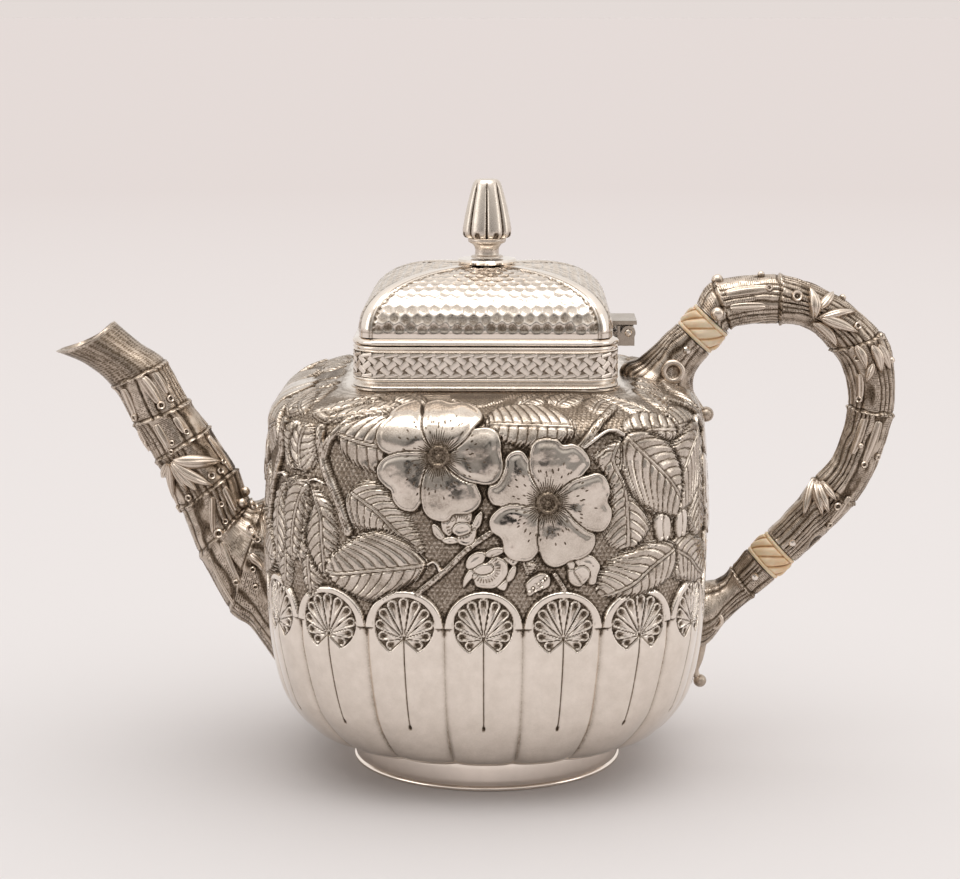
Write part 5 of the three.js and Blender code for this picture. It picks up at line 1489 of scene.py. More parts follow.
gripTrim = {
    "leaves": [
        ((7.16, -112), (7.52, -42), 1.25, 0.2, 1.3), ((7.1, -104), (6.62, -34), 0.95, 0.3, 1.1),
        ((7.1, -100), (6.3, -74), 1.4, 0.4, 1.1), ((7.12, -124), (6.2, -132), 1.25, -0.3, 0.9),
        ((7.2, -90), (7.1, -16), 0.9, 0.2, 0.9), ((6.06, -96), (5.14, -101), 1.2, 0.2, 0.9),
        ((5.92, -69), (4.96, -70), 1.2, -0.2, 0.9), ((5.3, -83), (4.76, -106), 0.9, 0.1, 0.8),
        ((5.86, -54), (4.98, -43), 1.1, 0.2, 0.8), ((2.06, -166), (1, -118), 1.1, 0.2, 0.9),
        ((2.08, -155), (1.34, -84), 1.2, 0.3, 0.9), ((2.1, -146), (1.5, -76), 1.15, 0.3, 0.9),
        ((2.16, -140), (1.92, -82), 0.9, 0.2, 0.8),
    ],
    "tongues": [
        ((8.9, -60), (8.2, -58), 1), ((8.9, -95), (8.3, -100), 0.9), ((3.9, -70),
        (3.1, -74), 1.0, 0),
        ((3.9, -110), (3.2, -114), 0.9), ((2.2, -60), (1.3, -50), 0.7), ((5, -120),
        (4.3, -128), 0.9, 0),
    ],
    "rings": [
        (8.22, -58, 1.1), (7.72, -72, 1.7), (5.6, -112, 1.1), (1.8, -71, 1.3), (3.1, -74, 1.1),
        (6.42, -62, 1.2),
        (4.3, -128, 1.1), (6, -30, 1.1), (3.3, -40, 1.1), (1.25, -48, 1.1),
    ],
    "beads": [(9.4, -92, 2), (8.96, -4, 1.7), (8.3, -8, 1), (6.9, -6, 1), (5.2, -30, 1),
              (3.4, -100, 0.9)],
}


spoutTable = {
    "reach": 61.3,
    "shares": [
        (-0.08, 0.10, -0.14, 0.62, 0.5), (0.1, 0.262, -0.03, 0.66, 0.68),
        (0.205, 0.319, 0.023, 0.645, 0.76),
        (0.345, 0.474, 0.110, 0.632, 0.98), (0.437, 0.609, 0.169, 0.716, 1),
        (0.547, 0.741, 0.294, 0.833, 1),
        (0.642, 0.840, 0.388, 0.907, 1), (0.737, 0.948, 0.494, 1.018, 1), (0.862, 1.013, 0.614, 1.070, 1),
        (0.996, 1.048, 0.729, 1.129, 0.95),
    ],
    "joints": [2, 3, 4, 5, 6, 7],
    "wall": 1.2,
    "lipDip": 1.4,
    "rows": 376,
    "around": 168,
    "strips": 17,
    "lipLines": 28,
    "boreEnd": 3.4,
    "boreRows": 60,
}


def stemPairs(side, reach, shares):
    pairs = []
    for lowOut, lowUp, highOut, highUp, depth in shares:
        pairs.append((*beside(side, reach, lowOut, lowUp), *beside(side, reach, highOut, highUp), depth))
    return pairs


spoutStem = Stem(stemPairs(-1, spoutTable["reach"], spoutTable["shares"]))


def makeSpout():
    stem = spoutStem
    runs = np.linspace(0, stem.run[-1], spoutTable["rows"])
    angles = ringAngles(spoutTable["around"])
    run, angle = np.meshgrid(runs, angles, indexing="ij")
    place = stem.placeAt(run)
    joints = [float(stem.runAt(joint)) for joint in spoutTable["joints"]]
    lip = ease(joints[-1] - 0.3, joints[-1] + 0.6, run)
    height, dark = barkField(run, angle, joints, spoutTable["strips"], 11, calm=lip)
    ringHeight, ringDark = ringField(run, angle, joints, 0.55, 21)
    waist = -0.2 * (1 - lip)
    line = np.abs(np.mod(angle / turn * spoutTable["lipLines"], 1) - 0.5)
    spots = ease(0.42, 0.2, np.hypot(line, np.mod(run / 0.8, 1) - 0.5))
    worn = valueNoise(3 * np.cos(angle) + 5, 3 * np.sin(angle) + run / 30, 6)
    dark = np.maximum(dark, lip * (0.3 + 0.2 * worn + 0.4 * spots))
    rim = bump(run, runs[-1] - 0.5, 0.6)
    shade = trimShade(stem, spoutTrim, run, angle)
    lift = height + ringHeight + waist + 0.12 * rim - 0.25 * shade
    dark = np.maximum(np.maximum(dark, ringDark), shade) * (1 - 0.8 * rim)
    outer = stem.pointAt(place, angle, lift)
    ends = stem.pointAt(np.array([stem.spans, stem.spans]), np.array([0, math.pi]), 0)
    back = (ends[0] - ends[1]) / np.linalg.norm(ends[0] - ends[1])
    down = np.array([back[2], 0, -back[0]])
    dip = spoutTable["lipDip"] * np.sin(angle) ** 2 * ease(runs[-1] - 12, runs[-1], run)
    outer = outer + dip[..., None] * down
    outer = pulledToSkin(outer, 0.5)
    # the bore, from the lip down to where it can't be seen any more
    boreRuns = np.linspace(runs[-1], stem.runAt(spoutTable["boreEnd"]), spoutTable["boreRows"])
    boreRun, boreAngle = np.meshgrid(boreRuns, angles, indexing="ij")
    inside = stem.pointAt(stem.placeAt(boreRun), boreAngle, -spoutTable["wall"])
    boreDip = spoutTable["lipDip"] * np.sin(boreAngle) ** 2 * ease(runs[-1] - 12, runs[-1], boreRun)
    inside = inside + boreDip[..., None] * down
    grid = np.concatenate([outer, inside])
    stains = np.concatenate([dark, np.full(inside.shape[:2], 0.35)])
    shapes = [closedGrid(grid, stains), *stemTrim(stem, spoutTrim)]
    flat = np.vstack([stemUv(run, angle), stemUv(boreRun, boreAngle)])
    piece = shapesPiece("spout_bamboo", shapes, 65, flat)
    finishPiece(piece, stemLook, "pot", "oxidised_silver", "spout", "spout_leaf_spray")


makeSpout()

gripTable = {
    "reach": 54.3,
    "shares": [
        (0.487, 0.624, 0.662, 0.546), (0.589, 0.696, 0.798, 0.626), (0.696, 0.767, 0.903, 0.719),
        (0.762, 0.896, 0.99, 0.875), (0.736, 0.993, 0.99, 1.013), (0.668, 1.054, 0.928, 1.100),
        (0.544, 1.112, 0.689, 1.207), (0.395, 1.128, 0.399, 1.260), (0.146, 1.116, 0.062, 1.243),
    ],
    "joints": [2, 4, 6, 8, 9],
    "rows": 516,
    "around": 150,
    "strips": 19,
    "seed": 41,
    "ringProud": 0.55,
}


def gripPairs():
    low = jointFace("lower", 1)
    high = jointFace("upper", 1)
    middle = stemPairs(1, gripTable["reach"], [(*shares, 1) for shares in gripTable["shares"]])
    return [(*low[0], *low[1], 1), *middle, (*high[1], *high[0], 1)]


gripStem = Stem(gripPairs())


def stemSkin(stem, table, seed, proud, trim=None):
    runs = np.linspace(0, stem.run[-1], table["rows"])
    angles = ringAngles(table["around"])
    run, angle = np.meshgrid(runs, angles, indexing="ij")
    joints = [float(stem.runAt(joint)) for joint in table["joints"]]
    height, dark = barkField(run, angle, joints, table["strips"], seed)
    ringHeight, ringDark = ringField(run, angle, joints, proud, seed + 10)
    ends = ease(0, 0.9, run) * ease(0, 0.9, stem.run[-1] - run)
    shade = 0 * run if trim is None else trimShade(stem, trim, run, angle)
    lift = (height + ringHeight - 0.15 - 0.25 * shade) * ends
    dark = np.maximum(np.maximum(dark, ringDark), shade)
    return stem.pointAt(stem.placeAt(run), angle, lift), dark, stemUv(run, angle)


def makeGrip():
    grid, stains, flat = stemSkin(gripStem, gripTable, gripTable["seed"], gripTable["ringProud"], gripTrim)
    piece = shapesPiece("grip_bamboo", [closedGrid(grid, stains), *stemTrim(gripStem, gripTrim)], 65, flat)
    sprays = [f"grip_{place}_leaf_spray" for place in ("upper", "outer", "lower")]
    finishPiece(piece, stemLook, "pot", "oxidised_silver", "handle_grip", *sprays)


makeGrip()

socketTables = {
    "upper": {
        "shares": [
            (-0.46, 0.96, -0.15, 0.83, 0.75), (-0.412, 1.013, -0.011, 0.879, 0.68),
            (-0.339, 1.03, -0.042, 0.93, 0.74), (-0.267, 1.061, -0.049, 0.973, 0.86),
            (-0.195, 1.098, -0.018, 1.011, 0.94),
        ],
        "joints": [],
        "rows": 130,
        "around": 120,
        "ringProud": 0.45,
        "strips": 15,
        "eyelet": (-0.159, 1.003),
        "eyeletRadius": 3.5,
        "seed": 61,
        "ball": (0.023, 0.8765),
        "ballRadius": 2.2,
        "tail": [(-0.1, 0.96), (-0.065, 0.935), (-0.03, 0.908), (0, 0.888), (0.023, 0.8765)],
    },
    "lower": {
        "shares": [
            (-0.1, 0.40, -0.14, 0.21, 0.95), (0.047, 0.406, 0.035, 0.225, 0.9),
            (0.115, 0.418, 0.149, 0.296, 1), (0.169, 0.444, 0.283, 0.362, 1),
        ],
        "joints": [3],
        "rows": 130,
        "around": 120,
        "ringProud": 0.45,
        "strips": 13,
        "eyelet": (0.075, 0.31),
        "eyeletRadius": 2.8,
        "seed": 71,
        "ball": (0.014, 0.122),
        "ballRadius": 1.87,
        "tail": [(0.03, 0.25), (0.01, 0.19), (-0.012, 0.15), (0.014, 0.122)],
    },
}


def eyeletShape(x, z, flank, radius, side):
    # a raised ring on a socket's flank, with a shallow dark hollow inside it
    inner = radius * 0.5
    heights = [(0.001, -2.5), (radius, -2.5), (radius, 0.35), (radius - 0.25, 0.75), (radius - 0.7, 0.95),
               (inner + 0.5, 0.95), (inner + 0.1, 0.7), (inner, 0.2), (inner * 0.6, -0.05), (0.001, -0.1)]
    stains = np.array([0.3, 0.3, 0.3, 0.12, 0.08, 0.08, 0.3, 0.6, 0.5, 0.45])[:, None]
    return turnedShape(heights, 40, (x + axisX, side * flank, z), (0, side, 0), stains)


def ballShape(centre, radius, stains=0.15, sides=32):
    angles = np.linspace(-math.pi / 2, math.pi / 2, sides // 2 + 1)
    line = np.stack([np.maximum(np.cos(angles), 0.001) * radius, np.sin(angles) * radius], 1)
    return turnedShape(line, sides, centre, (0, 0, 1), stains)


def tailShape(points, firstRadius, lastRadius, sides=20):
    line = smoothOpen(points, 8)
    slope = unit(np.gradient(line, axis=0))
    across = unit(np.cross(slope, (0, 1, 0)))
    upright = np.cross(slope, across)
    radius = np.linspace(firstRadius, lastRadius, len(line))[:, None, None]
    angle = ringAngles(sides)[None, :, None]
    grid = line[:, None] + radius * (np.cos(angle) * across[:, None] + np.sin(angle) * upright[:, None])
    return closedGrid(grid, 0.3)


def makeSocket(name):
    table = socketTables[name]
    face = jointFace(name, -1)
    pairs = stemPairs(1, gripTable["reach"], table["shares"]) + [(*face[0], *face[1], 1)]
    stem = Stem(pairs)
    grid, stains, flat = stemSkin(stem, table, table["seed"], table["ringProud"])
    grid = pulledToSkin(grid, 0.5)
    flank = ivoryRings[name]["radius"]
    x, z = beside(1, gripTable["reach"], *table["eyelet"])
    shapes = [closedGrid(grid, stains)]
    shapes += [eyeletShape(x, z, flank + 0.15, table["eyeletRadius"], side) for side in (1, -1)]
    ballX, ballZ = beside(1, gripTable["reach"], *table["ball"])
    shapes.append(ballShape((ballX + axisX, 0, ballZ), table["ballRadius"], 0.35))
    route = [beside(1, gripTable["reach"], *share) for share in table["tail"]]
    shapes.append(tailShape([(px + axisX, 0, pz) for px, pz in route], 1.3, 0.9))
    piece = shapesPiece(f"{name}_socket_bamboo", shapes, 60, flat)
    finishPiece(piece, stemLook, "pot", "oxidised_silver", f"{name}_socket")


for name in ("upper", "lower"):
    makeSocket(name)

print("stage: stems")


def makeIvory(name):
    table = ivoryRings[name]
    half = ivoryRings["length"] / 2
    inside = half - ivoryRings["collar"]
    radius = table["radius"]
    twisted = np.linspace(-inside + 0.05, inside - 0.05, 60)
    heights = np.concatenate([np.linspace(-half, -inside, 9), twisted, np.linspace(inside, half, 9)])
    height, around = np.meshgrid(heights, ringAngles(ivoryRings["around"]), indexing="ij")
    share = np.clip(height / inside, -1, 1)
    middle = (np.abs(height) < inside).astype(float)
    swell = archOf(np.abs(share), 3.2)
    lobe = np.abs(np.cos(ivoryRings["lobes"] / 2 * around - share * math.pi * 0.62)) ** 0.8
    gadroon = ivoryRings["proud"] * swell * lobe * middle
    fromEdge = np.minimum(half - np.abs(height), np.abs(height) - inside)
    collar = 0.28 * np.sqrt(np.clip(fromEdge / 0.5, 0, 1)) * (1 - middle)
    size = radius - 0.25 + gadroon + collar
    seam = ease(0.25, 0, np.abs(np.abs(height) - inside))
    stains = np.clip(0.7 * ease(0.7, 0.05, lobe) * middle + 0.35 * seam, 0, 1)
    along = ringAlong(name)
    axis = np.array([along[0], 0, along[1]])
    side = np.array([along[1], 0, -along[0]])
    centre = np.array([table["centre"][0] + axisX, 0, table["centre"][1]])
    grid = centre + height[..., None] * axis + size[..., None] * (
        np.cos(around)[..., None] * side + np.sin(around)[..., None] * np.array([0, 1.0, 0]))
    piece = shapesPiece(f"{name}_ivory_ring", [closedGrid(grid, stains)], sharpAngle=60)
    finishPiece(piece, ivory, "pot", "ivory", f"{name}_insulator")


for name in ("upper", "lower"):
    makeIvory(name)


# the lid's dome: four hammered panels that meet in smooth ridges

dome = {
    "bottom": 125.3,
    "half": 34.4,
    "rise": 16.6,
    "power": 2.7,
    "cornerShare": 0.2,
    "crownRadius": 8.4,
    "holeRadius": 2.2,
    "wall": 1.0,
    "columns": 800,
    "rows": 104,
    "dimplePitch": 3.05,
    "dimpleDepth": 0.30,
    "ridgeHalf": 2.2,
    "borderPitch": 1.5,
}


def squarePlan(half, corner, share):
    # a point on a square with rounded corners, by its share of the way round from a corner
    quarter = np.floor(share * 4)
    within = (share * 4 - quarter) * 2 - 1
    straight = half - corner
    reach = np.abs(within) * (straight + corner * math.pi / 4)
    bend = np.clip((reach - straight) / np.maximum(corner, 1e-6), 0, None)
    x = np.where(reach < straight, half, straight + corner * np.cos(bend))
    y = np.sign(within) * np.where(reach < straight, reach, straight + corner * np.sin(bend))
    angle = (quarter - 1) * math.pi / 2
    return x * np.cos(angle) - y * np.sin(angle), x * np.sin(angle) + y * np.cos(angle), within


def makeDome():
    table = dome
    degrees = np.concatenate([np.linspace(0, 12, 14)[:-1], np.linspace(12, 84, table["rows"])])
    radians = np.radians(degrees)
    across = table["half"] * np.cos(radians) ** (2 / table["power"])
    up = table["bottom"] + table["rise"] * np.sin(radians) ** (2 / table["power"])
    run = np.concatenate([[0], np.cumsum(np.hypot(np.diff(across), np.diff(up)))])
    even = np.linspace(0, run[-1], table["rows"])
    across, up = np.interp(even, run, across), np.interp(even, run, up)
    toCrown = ease(16, table["crownRadius"], across)
    corner = across * table["cornerShare"] + (across * (1 - table["cornerShare"])) * toCrown
    share = (np.arange(table["columns"]) + 0.5) / table["columns"]
    x, y, within = squarePlan(across[:, None], corner[:, None], share[None, :])
    base = np.stack([x + axisX, y, up[:, None] + 0 * x], -1)
    normal = gridNormals(base)
    if normal[table["rows"] // 2, 0, 2] < 0:
        normal = -normal
    length = (across - corner + corner * math.pi / 4)[:, None]
    sideways = within * length
    fromRidge = length - np.abs(sideways)
    along = even[:, None] + 0 * sideways
    panel = np.floor(share * 4)[None, :] + 0 * sideways
    pitch, rise = table["dimplePitch"], table["dimplePitch"] * 0.866
    nearest = np.full(along.shape, 9.0)
    row = np.round(along / rise)
    for rowStep in (-1, 0, 1):
        thisRow = row + rowStep
        shift = np.mod(thisRow, 2) * 0.5
        column = np.round(sideways / pitch - shift)
        for columnStep in (-1, 0, 1):
            thisColumn = column + columnStep
            jitterX = 0.22 * (hashed(thisColumn, thisRow + 40 * panel, 1) - 0.5)
            jitterY = 0.22 * (hashed(thisColumn, thisRow + 40 * panel, 2) - 0.5)
            gapAcross = sideways - (thisColumn + shift + jitterX) * pitch
            gapAlong = along - (thisRow + jitterY) * rise - jitterY
            nearest = np.minimum(nearest, np.hypot(gapAcross, gapAlong))
    spread = nearest / (pitch * 0.5)
    dish = 0.3 * ease(0.7, 1.02, spread) + 0.7 * np.clip(spread, 0, 1.12) ** 2
    field = ease(table["ridgeHalf"] - 0.1, table["ridgeHalf"] + 0.5, fromRidge) * ease(1.2, 2.2, along)
    height = table["dimpleDepth"] * (dish - 0.8) * field
    ridge = ease(table["ridgeHalf"] + 0.15, table["ridgeHalf"] - 0.25, fromRidge)
    height += ridge * (0.22 + 0.16 * archOf(fromRidge / table["ridgeHalf"]))
    height -= 0.16 * bump(fromRidge, table["ridgeHalf"] - 0.5, 0.16) * ridge
    # painted reflection: the middle of each dish is painted darker than its rim, and the lowest rows darker
    # still, for the dark room in front that the dishes mirror; a smooth random part makes it uneven
    worn = valueNoise(sideways / 3.4 + 40, along / 3.4 + 9 * panel, 51)
    deep = 0.12 + 0.24 * worn + 0.22 * ease(8, 3, along)
    dark = (0.08 + deep * ease(1.0, 0.72, spread)) * field
    dark = np.maximum(dark, 0.7 * bump(fromRidge, table["ridgeHalf"] - 0.5, 0.2))
    dark = np.maximum(dark, 0.6 * bump(fromRidge, table["ridgeHalf"] + 0.25, 0.25))
    dark = np.maximum(dark, 0.5 * bump(along, 1.5, 0.2))
    inward = fromRidge - table["ridgeHalf"] - 0.3
    tooth = 1 - 2 * np.abs(np.mod(along / table["borderPitch"], 1) - 0.5)
    border = ease(0.1, -0.15, inward - 1.1 * tooth) * ease(-0.05, 0.1, inward)
    border = border * ease(1.4, 2.4, along) * ease(2, 4, length)
    dark = np.maximum(dark * (1 - border), 0.8 * border)
    height -= 0.16 * border
    outer = base + normal * height[..., None]
    crown = table["bottom"] + table["rise"]
    angles = np.arctan2(base[-1, :, 1], base[-1, :, 0] - axisX)

    # the hole under the finial, the wall's inside and the way back to its foot
    hole = [roundGrid(table["holeRadius"], angles, crown - down)[None] for down in (0.02, table["wall"])]
    inner = base[::-8] - normal[::-8] * table["wall"]
    inner[-1] = base[0] - normal[0] * table["wall"]
    grid = np.concatenate([outer, *hole, inner])
    stains = np.concatenate([dark, np.full((2, len(share)), 0.2), np.full(inner.shape[:2], 0.15)])
    piece = shapesPiece("lid_hammered_dome", [loopedGrid(grid, stains)], sharpAngle=65)
    finishPiece(piece, lidLook, "lid", "silver", "lid_dome")


makeDome()


# finial: a fluted bud on a turned neck

bud = {
    "discTop": 143.4,
    "height": 22.2,
    "radius": 7.0,
    "flutes": 8,
    "around": 256,
    "rows": 150,
    "depth": 0.13,
    "lengthShare": 0.74,
    "outline": [
        (0.06, 1), (0.40, 1.005), (0.74, 1), (0.93, 0.975), (1, 0.9), (0.95, 0.72), (0.8, 0.42),
        (0.62, 0.14), (0.5, 0.035), (0.36, 0), (0.02, -0.004),
    ],
    "neck": [
        (0.05, 0), (0.60, 0), (0.64, 0.04), (0.62, 0.1), (0.5, 0.14), (0.475, 0.3), (0.49, 0.5),
        (0.58, 0.68), (0.72, 0.78), (0.76, 0.86), (0.76, 0.96), (0.72, 1.04), (0.05, 1.05),
    ],
    "stud": [(0.01, -8.2), (1.9, -8.2), (1.9, 0.4), (0.01, 0.4)],
}


def makeFinial():
    tip = bud["discTop"] + bud["height"]
    length = bud["height"] * bud["lengthShare"]
    neckFoot = bud["discTop"] + 0.3
    neckHeight = bud["height"] - length - 0.3
    angle = ringAngles(bud["around"])
    # the bud, from its rounded foot up to its tip
    line = splinePoint(bud["outline"], np.linspace(0, 1, bud["rows"]))
    radius = np.clip(line[:, 0], 0.01, None)[:, None] * bud["radius"]
    height = tip - line[:, 1][:, None] * length
    part = np.mod(angle / turn * bud["flutes"], 1)[None, :] * 2 - 1
    along = line[:, 1][:, None]
    deep = bud["depth"] * ease(0.03, 0.2, along) * ease(1.03, 0.985, along) + 0.10 * ease(0.9, 0.99, along)
    lobe = 1 - deep * np.abs(part) ** 3.5
    notch = 0.05 * bump(np.abs(part), 0.0, 0.22) * ease(0.86, 0.95, along) * ease(1.03, 0.99, along)
    size = radius * (lobe - notch)
    dark = 0.75 * ease(0.8, 0.97, np.abs(part)) * ease(0.02, 0.1, along) + 0 * size
    dark = 0.22 + np.maximum(dark, 0.6 * ease(0.0, 0.3, notch / 0.05) + 0 * size)
    shapes = [closedGrid(roundGrid(size, angle, height), dark)]
    neckLine = [(wide * bud["radius"], up * neckHeight) for wide, up in bud["neck"]]
    fine = splinePoint(neckLine, np.linspace(0, 1, 70))
    fine[:, 0] = np.clip(fine[:, 0], 0.01, None)
    shapes.append(turnedShape(fine, 96, (axisX, 0, neckFoot), (0, 0, 1), 0.3))
    shapes.append(turnedShape(bud["stud"], 32, (axisX, 0, neckFoot), (0, 0, 1), 0.12))
    piece = shapesPiece("finial_bud", shapes, sharpAngle=50)
    finishPiece(piece, bandLook, "lid", "silver", "finial")


makeFinial()

print("stage: lid and finial")


# collar, its woven band, the lid's rim, the foot and the base

collar = {
    "wallHalf": 34.9,
    "corner": 8.0,
    "columns": 400,
    "wire": (35.5, 114.15, 0.5),
    "wall": [(33.4, 112.1), (36, 112.1), (35.7, 112.4), (35.25, 112.75), (35, 113.2), (34.9, 113.7),
             (34.9, 121.4), (33.4, 121.4)],
    "band": [
        (34.85, 114.75, 0.3), (35.8, 114.75, 0.3), (35.95, 114.85, 0.12), (35.9, 115, 0.4),
        (35.66, 115.1, 0.8), (35.66, 115.3, 0.6),
        (35.66, 120.8, 0.6), (35.66, 121, 0.8), (35.85, 121.1, 0.4), (35.8, 121.25, 0.3),
        (34.85, 121.25, 0.3),
    ],
    "rim": [
        (33.4, 121.45), (35.6, 121.45), (35.85, 121.6), (35.95, 121.85), (35.8, 122), (35.65, 122.1),
        (35.7, 122.2), (35.85, 122.5),
        (35.85, 122.8), (35.75, 123), (35.5, 123.15), (33.4, 123.2),
    ],
    "lidRim": [
        (31.8, 123.5), (35.7, 123.5), (35.95, 123.6), (36.1, 123.85), (36.1, 124.2), (35.95, 124.5),
        (35.6, 124.75), (35.0, 124.9),
        (34.6, 125.2), (31.8, 125.2),
    ],
}


def squareSweep(loop, stains=0.12):
    # a closed moulding round the collar's rounded square, from [half width, height] points
    loop = np.asarray(loop, float)
    share = (np.arange(collar["columns"]) + 0.5) / collar["columns"]
    half = loop[:, 0][:, None] + 0 * share
    corner = np.maximum(collar["corner"] + half - collar["wallHalf"], 0.5)
    x, y, within = squarePlan(half, corner, share[None, :])
    return loopedGrid(np.stack([x + axisX, y, loop[:, 1][:, None] + 0 * x], -1), stains)


def wireLoop(half, height, radius, sides=12):
    angle = ringAngles(sides)
    return np.stack([half + radius * np.cos(angle), height + radius * np.sin(angle)], 1)


def makeCollar():
    band = np.array(collar["band"])
    wall = squareSweep(collar["wall"], 0.2)
    wire = squareSweep(wireLoop(*collar["wire"]), 0.1)
    backing = squareSweep(band[:, :2], band[:, 2:])
    rim, lidRim = squareSweep(collar["rim"]), squareSweep(collar["lidRim"])
    for name, shape, sharpAngle, *finish in [
        ("collar_wall_silver", wall, 50, bandLook, "pot", "silver", "collar_wall"),
        ("collar_bead_wire", wire, None, bandLook, "pot", "silver", "collar_wire"),
        ("collar_band_backing", backing, 45, bandLook, "pot", "silver", "collar_woven_band"),
        ("collar_rim_moulding", rim, 60, mirrorLook, "pot", "polished_silver", "collar_rim"),
        ("lid_rim_moulding", lidRim, 60, mirrorLook, "lid", "polished_silver", "lid_rim"),
    ]:
        finishPiece(shapesPiece(name, [shape], sharpAngle), *finish)


makeCollar()

weave = {
    "half": 35.5,
    "columns": 79,
    "slope": 37.0,
    "length": 2.66,
    "width": 1.9,
    "rise": 0.36,
    # height, lean, length share, width share and sideways shift of each row
    "strandRows": [
        (115.3, 0.3, 1.25, 0.52, 0.5), (116.6, -1, 1, 1, 0), (118.05, 1, 1, 1, 0.5),
        (119.5, -1, 1, 1, 0), (120.8, 0.3, 1.25, 0.52, 0.5),
    ],
    "shoulder": 0.19,
    "rings": 6,
}


def strandTree():
    # a short rounded strand set on every point of a mesh, turned and sized by its attributes
    tree = bpy.data.node_groups.new("wovenStrands", "GeometryNodeTree")
    tree.interface.new_socket("Points", in_out="INPUT", socket_type="NodeSocketGeometry")
    for label in ("Length", "Width", "Rise"):
        tree.interface.new_socket(label, in_out="INPUT", socket_type="NodeSocketFloat")
    tree.interface.new_socket("Strands", in_out="OUTPUT", socket_type="NodeSocketGeometry")
    wiring = Wiring(tree)
    given = wiring.add("NodeGroupInput")
    line = wiring.add("GeometryNodeCurvePrimitiveLine", {"Start": (-0.5, 0, 0), "End": (0.5, 0, 0)})
    even = wiring.add("GeometryNodeResampleCurve", {"Curve": line.outputs[0], "Count": weave["rings"]})
    share = wiring.add("GeometryNodeSplineParameter").outputs["Factor"]
    fromMiddle = wiring.maths("ABSOLUTE", wiring.minus(share, 0.5))
    size = wiring.minus(1.0, wiring.times(wiring.maths("POWER", fromMiddle, 4.0), 1.6))
    block = wiring.add("GeometryNodeCurvePrimitiveQuadrilateral", {"Width": 1.0, "Height": 1.0})
    rounding = {"Curve": block.outputs[0], "Count": 2, "Radius": weave["shoulder"]}
    ring = wiring.add("GeometryNodeFilletCurve", rounding, mode="POLY")
    sized = wiring.add("GeometryNodeSetCurveRadius", {"Curve": even.outputs[0], "Radius": size})
    sweep = {"Curve": sized.outputs[0], "Profile Curve": ring.outputs[0], "Fill Caps": True}
    swept = wiring.add("GeometryNodeCurveToMesh", sweep)
    sides = {"X": given.outputs["Length"], "Y": given.outputs["Width"], "Z": given.outputs["Rise"]}
    scale = wiring.add("ShaderNodeCombineXYZ", sides)
    shaped = wiring.add("GeometryNodeTransform", {"Geometry": swept.outputs[0], "Scale": scale.outputs[0]})
    place = wiring.add("GeometryNodeInputPosition").outputs[0]
    height = wiring.add("ShaderNodeSeparateXYZ", {0: place}).outputs[2]
    top = weave["rise"] * metres
    stainAndShade = {"Geometry": shaped.outputs[0], "Name": "patinaAndShade"}
    stainAndShade["Value"] = wiring.range(height, top * 0.78, top * 0.99, 1.0, 0.06)
    stained = wiring.add("GeometryNodeStoreNamedAttribute", stainAndShade, data_type="FLOAT", domain="POINT")
    smooth = wiring.add("GeometryNodeSetShadeSmooth", {"Geometry": stained.outputs[0]})
    setting = {"Points": given.outputs["Points"], "Instance": smooth.outputs[0]}
    for label, socket in (("strandTurn", "Rotation"), ("strandSize", "Scale")):
        named = wiring.add("GeometryNodeInputNamedAttribute", {"Name": label}, data_type="FLOAT_VECTOR")
        setting[socket] = named.outputs[0]
    setOut = wiring.add("GeometryNodeInstanceOnPoints", setting)
    real = wiring.add("GeometryNodeRealizeInstances", {0: setOut.outputs[0]})
    finish = wiring.add("GeometryNodeSetMaterial", {"Geometry": real.outputs[0], "Material": bandLook})
    wiring.add("NodeGroupOutput", {"Strands": finish.outputs[0]})
    return tree


def weaveStrands():
    corner = collar["corner"] + weave["half"] - collar["wallHalf"]
    spots, turns, sizes = [], [], []
    for number in range(weave["columns"]):
        for z, lean, longer, wider, shift in weave["strandRows"]:
            share = (number + shift) / weave["columns"]
            x, y, within = squarePlan(weave["half"], corner, np.array([share, share + 0.0004]))
            tangent = np.array([x[1] - x[0], y[1] - y[0], 0])
            tangent /= np.linalg.norm(tangent)
            outward = np.cross(tangent, (0, 0, 1))
            slope = math.radians(weave["slope"]) * lean
            along = tangent * math.cos(slope) + np.array([0, 0, math.sin(slope)])
            across = np.cross(outward, along)
            turned = Matrix(np.stack([along, across, outward], 1).tolist()).to_euler()
            spots.append((x[0] + axisX, y[0], z))
            turns.append(tuple(turned))
            sizes.append((longer, wider, 1))
    mesh = bpy.data.meshes.new("collar_band_strands")
    mesh.vertices.add(len(spots))
    mesh.vertices.foreach_set("co", (np.array(spots) * metres).astype(np.float32).ravel())
    for label, values in (("strandTurn", turns), ("strandSize", sizes)):
        layer = mesh.attributes.new(label, "FLOAT_VECTOR", "POINT")
        layer.data.foreach_set("vector", np.array(values, np.float32).ravel())
    piece = bpy.data.objects.new("collar_band_strands", mesh)
    scene.collection.objects.link(piece)
    tree = strandTree()
    modifier = piece.modifiers.new("weave", "NODES")
    modifier.node_group = tree
    wanted = {"Length": weave["length"], "Width": weave["width"], "Rise": 2 * weave["rise"]}
    for item in tree.interface.items_tree:
        if item.item_type == "SOCKET" and item.name in wanted:
            modifier[item.identifier] = wanted[item.name] * metres
    evaluated = piece.evaluated_get(bpy.context.evaluated_depsgraph_get())
    plain = bpy.data.meshes.new_from_object(evaluated)
    piece.modifiers.clear()
    piece.data = plain
    for label in ("strandTurn", "strandSize"):
        if label in plain.attributes:
            plain.attributes.remove(plain.attributes[label])
    print("stage: woven band,", len(spots), "strands")
    finishPiece(piece, bandLook, "pot", "silver", "collar_woven_band")


weaveStrands()

foot = [
    (36.5, 0.35), (37, 0.05), (37.9, 0), (38.35, 0.2), (38.5, 0.55), (38.4, 0.95), (38.1, 1.2),
    (37.9, 1.4), (37.95, 1.6), (37.85, 3),
    (37.75, 6), (37.7, 7.9), (37.6, 8.3), (36.5, 8.3), (36.5, 0.6),
]


